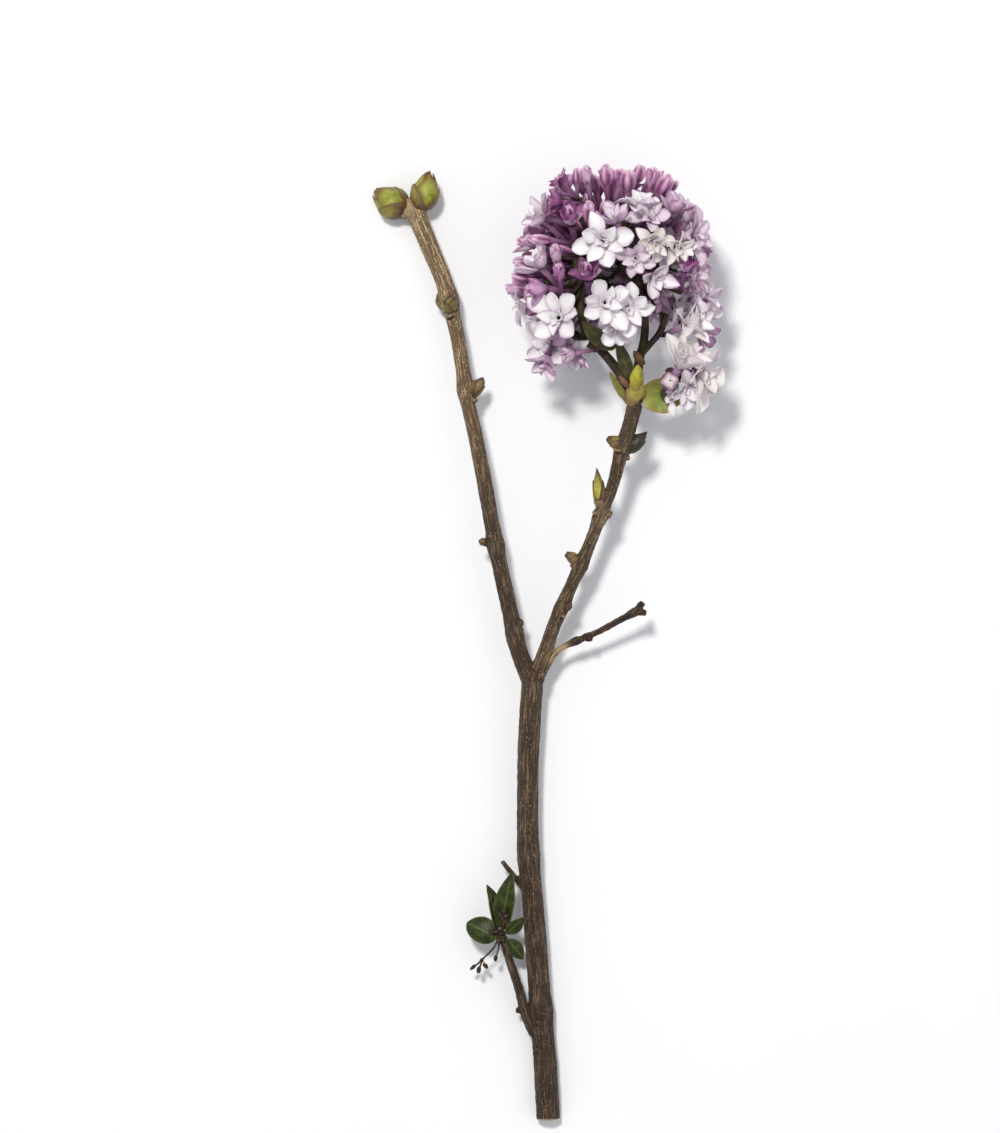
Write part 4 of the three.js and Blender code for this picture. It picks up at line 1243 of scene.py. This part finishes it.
# The kinds of floret: how many forms of it, its rings of petals from the outermost in, and its
# closed heads. A ring is a count, which petals, their pitch in degrees, their size, the ring's turn
# in degrees, and how much paler they are than the floret.
FLORET_KINDS = (
    ("double", 4, [(4, "broad", 13, 1, 0, 0), (4, "inner", 34, 1.15, 45, 0.1),
                   (4, "inner", 62, 0.7, 10, 0.2)], []),
    ("star", 3, [(4, "pointed", 14, 1.05, 0, 0), (4, "pointed", 38, 0.8, 45, 0),
                 (3, "inner", 62, 0.7, 20, 0.1)], []),
    ("full", 2, [(5, "broad", 14, 0.84, 0, 0), (5, "inner", 34, 1.1, 36, 0),
                 (5, "inner", 58, 0.9, 0, 0), (3, "inner", 78, 0.7, 20, 0.1)], []),
    ("fan", 2, [(5, "pointed", 40, 1.05, 0, 0), (5, "pointed", 58, 0.95, 36, 0),
                (3, "inner", 70, 0.9, 10, 0.1)], []),
    ("cupped", 3, [(4, "tulip", 48, 1.08, 0, 0), (4, "inner", 62, 0.9, 30, 0.3)], []),
    ("half", 3, [(4, "tulip", 68, 0.9, 0, 0), (4, "tulip", 80, 0.75, 40, 0.35)], ["core"]),
    ("split", 3, [(4, "tulip", 79, 0.82, 45, 0.1)], ["slim"]),
    ("crown", 1, [(2, "tulip", 84, 0.78, 45, 0.1)], ["plump", "core"]),
    ("crown", 1, [(2, "tulip", 84, 0.78, 135, 0.1)], ["plump", "core"]),
    ("single", 1, [(1, "broad", 74, 0.85, 180, 0)], []),
    ("round", 1, [], ["ball"]),
    ("bud", 1, [], ["plump"]),
    ("bud", 1, [], ["slim"]),
)


def petal_blade(length, width, outline, curl, cup, twist, columns, hook):
    """A petal, slightly uneven: `curl` lifts its middle, `cup` its edges and `hook` its tip."""
    shares = [share for share, _ in outline]
    lifts = [curl * length * (t - 0.85 * t * t) + hook * t**3 for t in shares]
    widths = [width * fullness for _, fullness in outline]
    leaf = blade(length, shares, widths, lifts, cup, columns, twist=twist)
    for vert in leaf.data.vertices:
        x, y = vert.co.x / MM, vert.co.y / MM
        vert.co.z += 0.45 * noise.noise((x * 0.45, y * 0.35, length + width)) * MM
    leaf.data.materials.append(PETAL)
    leaf.data.materials.append(PETAL_BACK)
    apply_modifier(leaf, "SOLIDIFY", thickness=0.28 * MM, offset=0, material_offset=1)
    smooth_shading(leaf)
    return leaf


def flower_form(kind, rings, heads, petals, rng):
    """A floret whose mouth is at the origin and whose tube runs down -Z."""
    wall = turned(TUBE_WALL, 8)
    wall.data.materials.append(FLOWER_TUBE)
    calyx = turned(CALYX_WALL, 8, 4, 0.3)
    calyx.data.materials.append(FLOWER_STALK)
    pieces = [wall, calyx]
    for head in heads:
        pieces.append(copy_of(head, Matrix.Identity(4)))
    for count, shape, pitch, size, turn, pale in rings:
        for k in range(count):
            yaw = math.radians(turn + 360 * k / count + rng.uniform(-10, 10))
            lift = math.radians(pitch + rng.uniform(-12, 12))
            roll = math.radians(rng.uniform(-18, 18))
            place = Matrix.Rotation(yaw, 4, "Z") @ Matrix.Translation((0, 0.7 * MM, 0))
            place = place @ Matrix.Rotation(lift, 4, "X") @ Matrix.Rotation(roll, 4, "Y")
            scale = size * rng.uniform(0.88, 1.1)
            petal = copy_of(rng.choice(petals[shape]), place @ Matrix.Scale(scale, 4))
            set_number(petal, "pale", pale + rng.uniform(-0.12, 0.12))
            pieces.append(petal)
    return joined(pieces, kind)


def make_forms():
    """The forms of every kind of floret, from a closed bud to a full double one."""
    rng = random.Random(3)
    petals = {name: [petal_blade(*petal) for petal in group] for name, group in PETALS.items()}
    heads = {name: turned(*wall) for name, wall in FLORET_HEADS.items()}
    heads["core"].data.transform(Matrix.Rotation(math.radians(45), 4, "Z"))
    for name, head in heads.items():
        head.data.materials.append(ROUND_BUD if name == "ball" else FLOWER_BUD)
    forms = {}
    for kind, count, rings, closed in FLORET_KINDS:
        closed_heads = [heads[name] for name in closed]
        for _ in range(count):
            form = flower_form(kind, rings, closed_heads, petals, rng)
            forms.setdefault(kind, []).append(form)
    drop(*heads.values(), *[petal for group in petals.values() for petal in group])
    return forms


# ------------------------------------------------------------------ bloom
HEAD = Vector((25.1, 337.7, 36.2))
HEAD_REACH = Vector((36.5, 36.5, 33.5))
STALK_WAY = Vector((0.12, -1, -0.1)).normalized()
STALK_OPENING = 40  # degrees round the stalk's way that stay free of florets
BRANCH_OPENING = 50  # and of the branches that carry them
# Shells of florets round the rest of the head: how many places are tried, how far out they are, how
# near one another they come in millimetres, and how high up the head they reach.
SHELLS = ((200, 0.98, 8.3, 0.3), (190, 0.8, 7.3, 0.15), (90, 0.6, 7.5, 0.3))
HEAD_UNEVEN = 0.1  # how much further in a floret may be than its shell, as a share
RIM_TILT = 0.3  # how far the florets round the sides turn up
LEANING = 0.2  # how far a floret leans from facing straight out
CLOSED_LEANING = 1.6  # and a closed one, times that
CLOSED_NEARNESS = 0.8  # how near one another closed florets come, times their shell's distance
OPEN_FROM = 0.62  # the ripeness from which florets are open
HALF_OPEN_FROM = 0.36
# The florets seen from above: mouth from the head's middle, facing, kind, size, and tint from white
# to purple, or below nothing for cream.
FRONT_FLORETS = [
    ((-17.4, 30.4, 4), (-0.5, 0.86, 0.1), "fan", 0.85, 0.75),
    ((-20.5, 28.9, 9), (-0.96, 0.26, 0.14), "star", 0.75, 0.75),
    ((-20.1, 24.5, 16), (-0.98, 0.03, 0.17), "cupped", 0.9, 0.85),
    ((-14.1, 32.7, 6), (-0.03, 1, 0.09), "bud", 0.8, 0.6),
    ((-9.9, 32.2, 12), (-0.17, 0.95, 0.26), "split", 0.95, 0.4),
    ((-2.6, 32.1, 14), (-0.05, 0.96, 0.26), "crown", 1, 0.85),
    ((3.2, 32.5, 3), (-0.1, 0.99, 0), "bud", 0.9, 0.8),
    ((5.7, 30, 10), (0.03, 0.98, 0.21), "bud", 1.1, 0.6),
    ((9.5, 34.2, 2), (0.27, 0.96, 0.09), "bud", 0.9, 0.6),
    ((14.4, 30.6, 8), (0.19, 0.96, 0.21), "split", 1.1, 0.7),
    ((18.2, 28.7, 12), (0.45, 0.85, 0.26), "crown", 1.05, 0.7),
    ((21.2, 29.3, 4), (0.68, 0.73, 0.09), "bud", 0.8, 0.75),
    ((-9.4, 16.9, 24.4), (-0.09, 0.9, 0.42), "crown", 1.05, 0.75),
    ((-16.4, 15.8, 23.2), (-0.15, 0.65, 0.74), "half", 1.25, 0.8),
    ((9.3, 21.7, 22.6), (0.08, 0.94, 0.34), "double", 0.95, 0.12),
    ((1, 16.3, 28), (-0.17, 0.8, 0.57), "cupped", 0.95, 0.35),
    ((13.9, 17.8, 22.3), (0.22, 0.41, 0.88), "double", 0.85, 0.4),
    ((21.9, 21, 15.6), (0.46, 0.86, 0.21), "cupped", 1, 0.5),
    ((28.3, 17.4, 11.9), (0.32, 0.87, 0.37), "half", 0.95, 0.3),
    ((29.7, 11.2, 16.5), (0.82, 0.12, 0.56), "double", 1.1, 0.32),
    ((14.9, 8.9, 28.5), (0.14, -0.38, 0.91), "full", 0.9, -0.35),
    ((23.2, 8.1, 22.7), (0.49, -0.41, 0.77), "fan", 0.95, -0.3),
    ((-4.5, 9, 32.2), (-0.02, -0.14, 0.99), "double", 1.2, 0.1),
    ((7.9, 2.5, 31.6), (-0.06, -0.34, 0.94), "double", 0.82, 0.36),
    ((14.5, -5, 28.4), (0.46, -0.26, 0.85), "cupped", 1.1, 0.26),
    ((27.2, -2.6, 20.2), (0.12, 0.86, 0.5), "half", 0.9, 1),
    ((30.5, -4.6, 14.8), (0.82, 0.22, 0.53), "double", 0.85, 0.36),
    ((31.6, -8.9, 8), (0.86, 0.05, 0.5), "double", 1.05, 0.24),
    ((34.2, -14.1, 2), (0.8, -0.37, 0.47), "cupped", 1.05, 0.28),
    ((27.7, -23.1, 8.5), (0.67, 0.27, 0.69), "fan", 1.2, -0.12),
    ((33.8, -25.9, 2), (0.82, -0.51, 0.24), "cupped", 0.9, 0.5),
    ((-3.7, -15.2, 30.3), (0, 0.07, 1), "double", 1.1, 0.06),
    ((5.3, -17.3, 26.1), (0.26, -0.22, 0.94), "double", 1.05, 0.12),
    ((1.5, -22.9, 21.1), (-0.12, -0.7, 0.71), "double", 0.95, 0.16),
    ((-21.4, -20.5, 20.6), (-0.17, 0, 0.98), "double", 1.22, 0.05),
    ((-35.6, -8.6, 13), (-0.98, -0.02, 0.2), "split", 0.85, 0.55),
    ((-34.2, -4.6, 15.5), (-0.95, 0.2, 0.24), "bud", 0.8, 0.6),
    ((-34, -15.4, 9), (-0.97, -0.2, 0.14), "star", 0.95, 0.1),
    ((-26, -9.3, 20.9), (-0.85, 0.06, 0.53), "half", 1.15, 0.6),
    ((-28.7, -10.2, 10), (-0.99, -0.1, 0.1), "cupped", 0.95, 0.45),
    ((-28, -1, 19.5), (-0.62, 0.69, 0.37), "cupped", 1.1, 0.28),
    ((-22.2, 0.7, 22.6), (-0.09, 0.89, 0.44), "split", 1, 0.5),
    ((-21, -5.9, 23.8), (-0.11, 0.81, 0.57), "split", 0.95, 0.85),
    ((-24.9, 9.8, 19.8), (-0.94, 0.13, 0.31), "bud", 0.95, 0.65),
    ((-28.6, 8.8, 6), (-0.87, 0.5, 0.03), "bud", 0.85, 0.5),
    ((-26.3, 19.7, 12.5), (-0.82, 0.33, 0.47), "cupped", 1.15, 0.28),
    ((-10.2, -5.4, 27.8), (-0.06, 0.53, 0.85), "half", 1.3, 0.85),
    ((-24.3, -28.9, -1), (-0.3, -0.36, 0.88), "double", 1.05, 0.18),
    ((-25.5, -34.3, 6), (-0.33, -0.82, 0.47), "fan", 0.95, 0.34),
    ((-17.7, -31.1, 4.7), (0.25, -0.43, 0.87), "double", 0.85, 0.24),
    ((-14.7, -33.8, 14), (-0.98, -0.14, 0.17), "half", 0.8, 0.42),
    ((-13, -34.7, 6), (-0.09, -0.97, 0.21), "cupped", 0.6, 0.42),
]
# How far a floret's mouth is below the head's surface, in millimetres, so that its top is at it.
SET_BACK = {"bud": 3, "crown": 3, "split": 3, "half": 2.5, "double": 0.5, "star": 0.5}
CLOSED_KINDS = ("bud", "crown", "split", "half")
LEFT_STALK = [
    (33.2, 287.6, 33.8), (31, 292, 34.6), (24.8, 300.5, 36), (18.1, 308.3, 38), (13.4, 315.7, 39),
    (12, 330, 39), (10, 345, 38), (9, 356, 37),
]
RIGHT_STALK = [
    (34.4, 287.6, 33.8), (34.8, 295.8, 36), (35.7, 302.8, 38), (37.2, 309, 39.5), (37.6, 318, 40),
    (36, 332, 39), (35, 346, 37),
]
NECK = [(33.4, 282.8, 32.6), (34, 286, 33.6), (34, 290.4, 34.6)]
LOW_BRANCHES = [
    [(21, 305, 37), (12, 309.5, 37.5), (5, 313.5, 41)],
    [(36.3, 305, 38.4), (43.5, 312, 41), (46, 319, 45)],
    [(36.3, 304, 38.2), (43, 312, 33), (46, 320, 29)],
    [(19, 307, 37.6), (14, 310, 32), (8, 314.5, 27)],
]
BRANCH_COUNT = 30  # branches inside the head, less those towards the stalk
BRANCH_REACH = 0.42  # how far out they end, as a share of the head
BRANCH_STEPS_BACK = 5  # how far below the nearest point of its flower stalk a branch starts
FLORET_STALK = 0.62


def scatter(i, k):
    """An even scatter in 0..1 that is the same on every run."""
    x = math.sin(i * 12.9898 + k * 78.233) * 43758.5453
    return x - math.floor(x)


def spread_way(i, count, turn=0):
    """The i-th of `count` ways out of a point, evenly spread, as seeds sit on a head."""
    golden = math.pi * (3 - math.sqrt(5))
    z = 1 - (2 * i + 1) / count
    ring = math.sqrt(1 - z * z)
    return Vector((ring * math.cos(i * golden + turn), ring * math.sin(i * golden + turn), z))


def kind_for(ripeness, rng):
    """The kind of floret for how ripe its place on the head is: open, half open or closed."""
    if ripeness > OPEN_FROM:
        return rng.choice(("double", "double", "double", "star"))
    if ripeness > HALF_OPEN_FROM:
        return "half"
    return rng.choice(("bud", "bud", "split", "crown"))


def head_florets(rng):
    """Every floret of the head: mouth from the head's middle, facing, kind, size and tint. The
    head opens from its foot up, so its lower florets are riper and whiter."""
    placed = list(FRONT_FLORETS)
    for shell, (count, reach, spacing, top) in enumerate(SHELLS):
        for i in range(count):
            way = spread_way(i, count, shell)
            if way.z > top or way.angle(STALK_WAY) < math.radians(STALK_OPENING):
                continue
            ripeness = 0.5 - 0.5 * way.y + 0.25 * way.x + 0.85 * (scatter(i, 1 + shell) - 0.5)
            kind = kind_for(ripeness, rng)
            closed = kind in CLOSED_KINDS
            size = 0.85 + 0.2 * scatter(i, 2)
            tint = min(0.9, max(0.02, 0.95 - 1.1 * ripeness + 0.12 * shell))
            lean = Vector((rng.uniform(-1, 1), rng.uniform(-1, 1), rng.uniform(-1, 1)))
            lean *= LEANING * (CLOSED_LEANING if closed else 1)
            facing = way + Vector((0, 0.15, RIM_TILT if way.z > -0.3 else 0)) + lean
            facing.normalize()
            mouth = way * HEAD_REACH * (reach * (1 - HEAD_UNEVEN * scatter(i, 5)))
            mouth -= facing * SET_BACK[kind] * size
            apart = spacing * (CLOSED_NEARNESS if closed else 1)
            if all((Vector(other[0]) - mouth).length > apart for other in placed):
                placed.append((mouth, facing, kind, size, tint))
    return placed


def set_floret(forms, mouth, facing, kind, size, tint, turn, rng):
    """One floret in its place, in its own tint. Returns it and the point where its stalk starts."""
    mouth, facing = Vector(mouth), Vector(facing).normalized()
    side = Vector((math.cos(turn), math.sin(turn), 0.3))
    matrix = stand(spot(mouth), facing, side) @ Matrix.Scale(size, 4)
    piece = copy_of(rng.choice(forms[kind]), matrix)
    set_number(piece, "tint", max(tint, 0) + rng.uniform(-0.04, 0.12))
    set_number(piece, "cream", max(-tint, 0))
    return piece, mouth - facing * (TUBE_LENGTH + CALYX_SINK) * size


def bent(start, end, sag):
    """A short stalk's line from start to end, bowed by `sag`."""
    start, end = Vector(start), Vector(end)
    return smooth_line([start, (start + end) / 2 + Vector(sag), end], 2.5)


def tapered(points, thick, thin):
    """A line for `tubes`: its points, and radii that go evenly from thick to thin."""
    return points, [thick + (thin - thick) * t for t in np.linspace(0, 1, len(points))]


def make_head(forms):
    """The florets and the flower buds. Returns the points where their stalks start."""
    rng = random.Random(5)
    groups = {"bloom_florets": [], "bloom_flower_buds": []}
    feet = []
    for i, (mouth, facing, kind, size, tint) in enumerate(head_florets(rng)):
        turn = scatter(i, 3) * 2 * math.pi
        place = Vector(mouth) + HEAD
        piece, foot = set_floret(forms, place, facing, kind, size, tint, turn, rng)
        groups["bloom_flower_buds" if kind in CLOSED_KINDS else "bloom_florets"].append(piece)
        feet.append(foot)
    for name, florets in groups.items():
        bloom = joined(florets, name)
        rest_on_floor(bloom)
        hand_in(bloom, name, "florets", "bloom")
    return feet


def make_bloom_stalks(feet):
    """The two flower stalks, their side branches, and a thin stalk to every floret's foot."""
    axes = [smooth_line(route, 2.0) for route in (LEFT_STALK, RIGHT_STALK)]
    lines = [tapered(axis, 2.1, 1.0) for axis in axes]
    lines.append((NECK, [2.7, 2.8, 2.3]))
    lines += [tapered(smooth_line(route, 2.0), 1.4, 0.9) for route in LOW_BRANCHES]
    knots = []
    for i in range(BRANCH_COUNT):
        way = spread_way(i, BRANCH_COUNT)
        if way.angle(STALK_WAY) < math.radians(BRANCH_OPENING):
            continue
        knot = HEAD + way * HEAD_REACH * BRANCH_REACH
        knots.append(knot)
        axis = min(axes, key=lambda line: np.linalg.norm(line - np.array(knot), axis=1).min())
        nearest = int(np.linalg.norm(axis - np.array(knot), axis=1).argmin())
        start = axis[max(0, nearest - BRANCH_STEPS_BACK)]
        lines.append(([knot - way * 1.2, knot + way * 1.6], [1.5, 0.7]))
        lines.append(tapered(bent(start, knot, (0, -1.5, 0)), 1.1, 0.8))
    for foot in feet:
        knot = min(knots, key=lambda k: (k - foot).length)
        sag = (knot - foot).cross(Vector((0.2, 0.1, 1))) * 0.06
        lines.append(tapered(bent(knot, foot, sag), FLORET_STALK, FLORET_STALK - 0.1))
    stalks = tubes("bloom_stalks", lines, 8)
    smooth_shading(stalks, 80)
    hand_in(stalks, "bloom_stalks", "florets", "bloom", material=FLOWER_STALK)


# ------------------------------------------------------------------ side spray
SPRAY_STALK = [
    (35.2, 285.6, 33.8), (39, 288.4, 31.6), (44, 291, 32), (49.6, 294, 36), (54.5, 296.1, 41),
]
# The spray's florets, as the head's, but each mouth from the cut end.
SPRAY_FLORETS = [
    ((51.1, 298.2, 46), (0.46, 0.73, 0.5), "fan", 1.4, -0.25),
    ((57.5, 295.9, 44), (0.82, -0.12, 0.56), "double", 1.3, -0.3),
    ((52.9, 290.9, 41), (0.41, -0.49, 0.77), "double", 0.85, 0.1),
    ((46.6, 292.6, 46.6), (0.05, 0.05, 1), "round", 1.25, 0.85),
    ((50.4, 289.4, 41), (-0.83, -0.24, 0.5), "cupped", 0.62, 0.15),
    ((48.2, 285.8, 40), (-0.05, -0.97, 0.21), "single", 0.68, -0.2),
    ((60.1, 292.3, 36), (0.46, -0.87, 0.17), "cupped", 0.9, -0.15),
]


def make_side_spray(forms):
    """The small side panicle: its florets and their stalks."""
    rng = random.Random(8)
    florets = []
    points = smooth_line(SPRAY_STALK, 1.5)
    lines = [tapered(points, 1.4, 0.9)]
    for i, (mouth, facing, kind, size, tint) in enumerate(SPRAY_FLORETS):
        turn = 0 if kind == "single" else scatter(i, 4) * 2 * math.pi
        piece, foot = set_floret(forms, mouth, facing, kind, size, tint, turn, rng)
        florets.append(piece)
        knot = min(points, key=lambda knot: (Vector(knot) - foot).length)
        lines.append(tapered(bent(knot, foot, (0, 0, 0.2)), FLORET_STALK, FLORET_STALK))
    hand_in(joined(florets, "side_spray_florets"), "side_spray_florets", "florets", "side_spray")
    stalks = tubes("side_spray_stalk", lines, 8)
    hand_in(stalks, "side_spray_stalk", "florets", "side_spray", material=FLOWER_STALK)


floret_forms = make_forms()
make_bloom_stalks(make_head(floret_forms))
make_side_spray(floret_forms)
drop(*[form for kind in floret_forms.values() for form in kind])


# ------------------------------------------------------------------ finish
bpy.ops.mesh.primitive_plane_add(size=FLOOR_SIDE, location=(0, 0, FLOOR_DEPTH))
floor = bpy.context.object
floor.name = "floor"
floor.data.materials.append(floor_material())
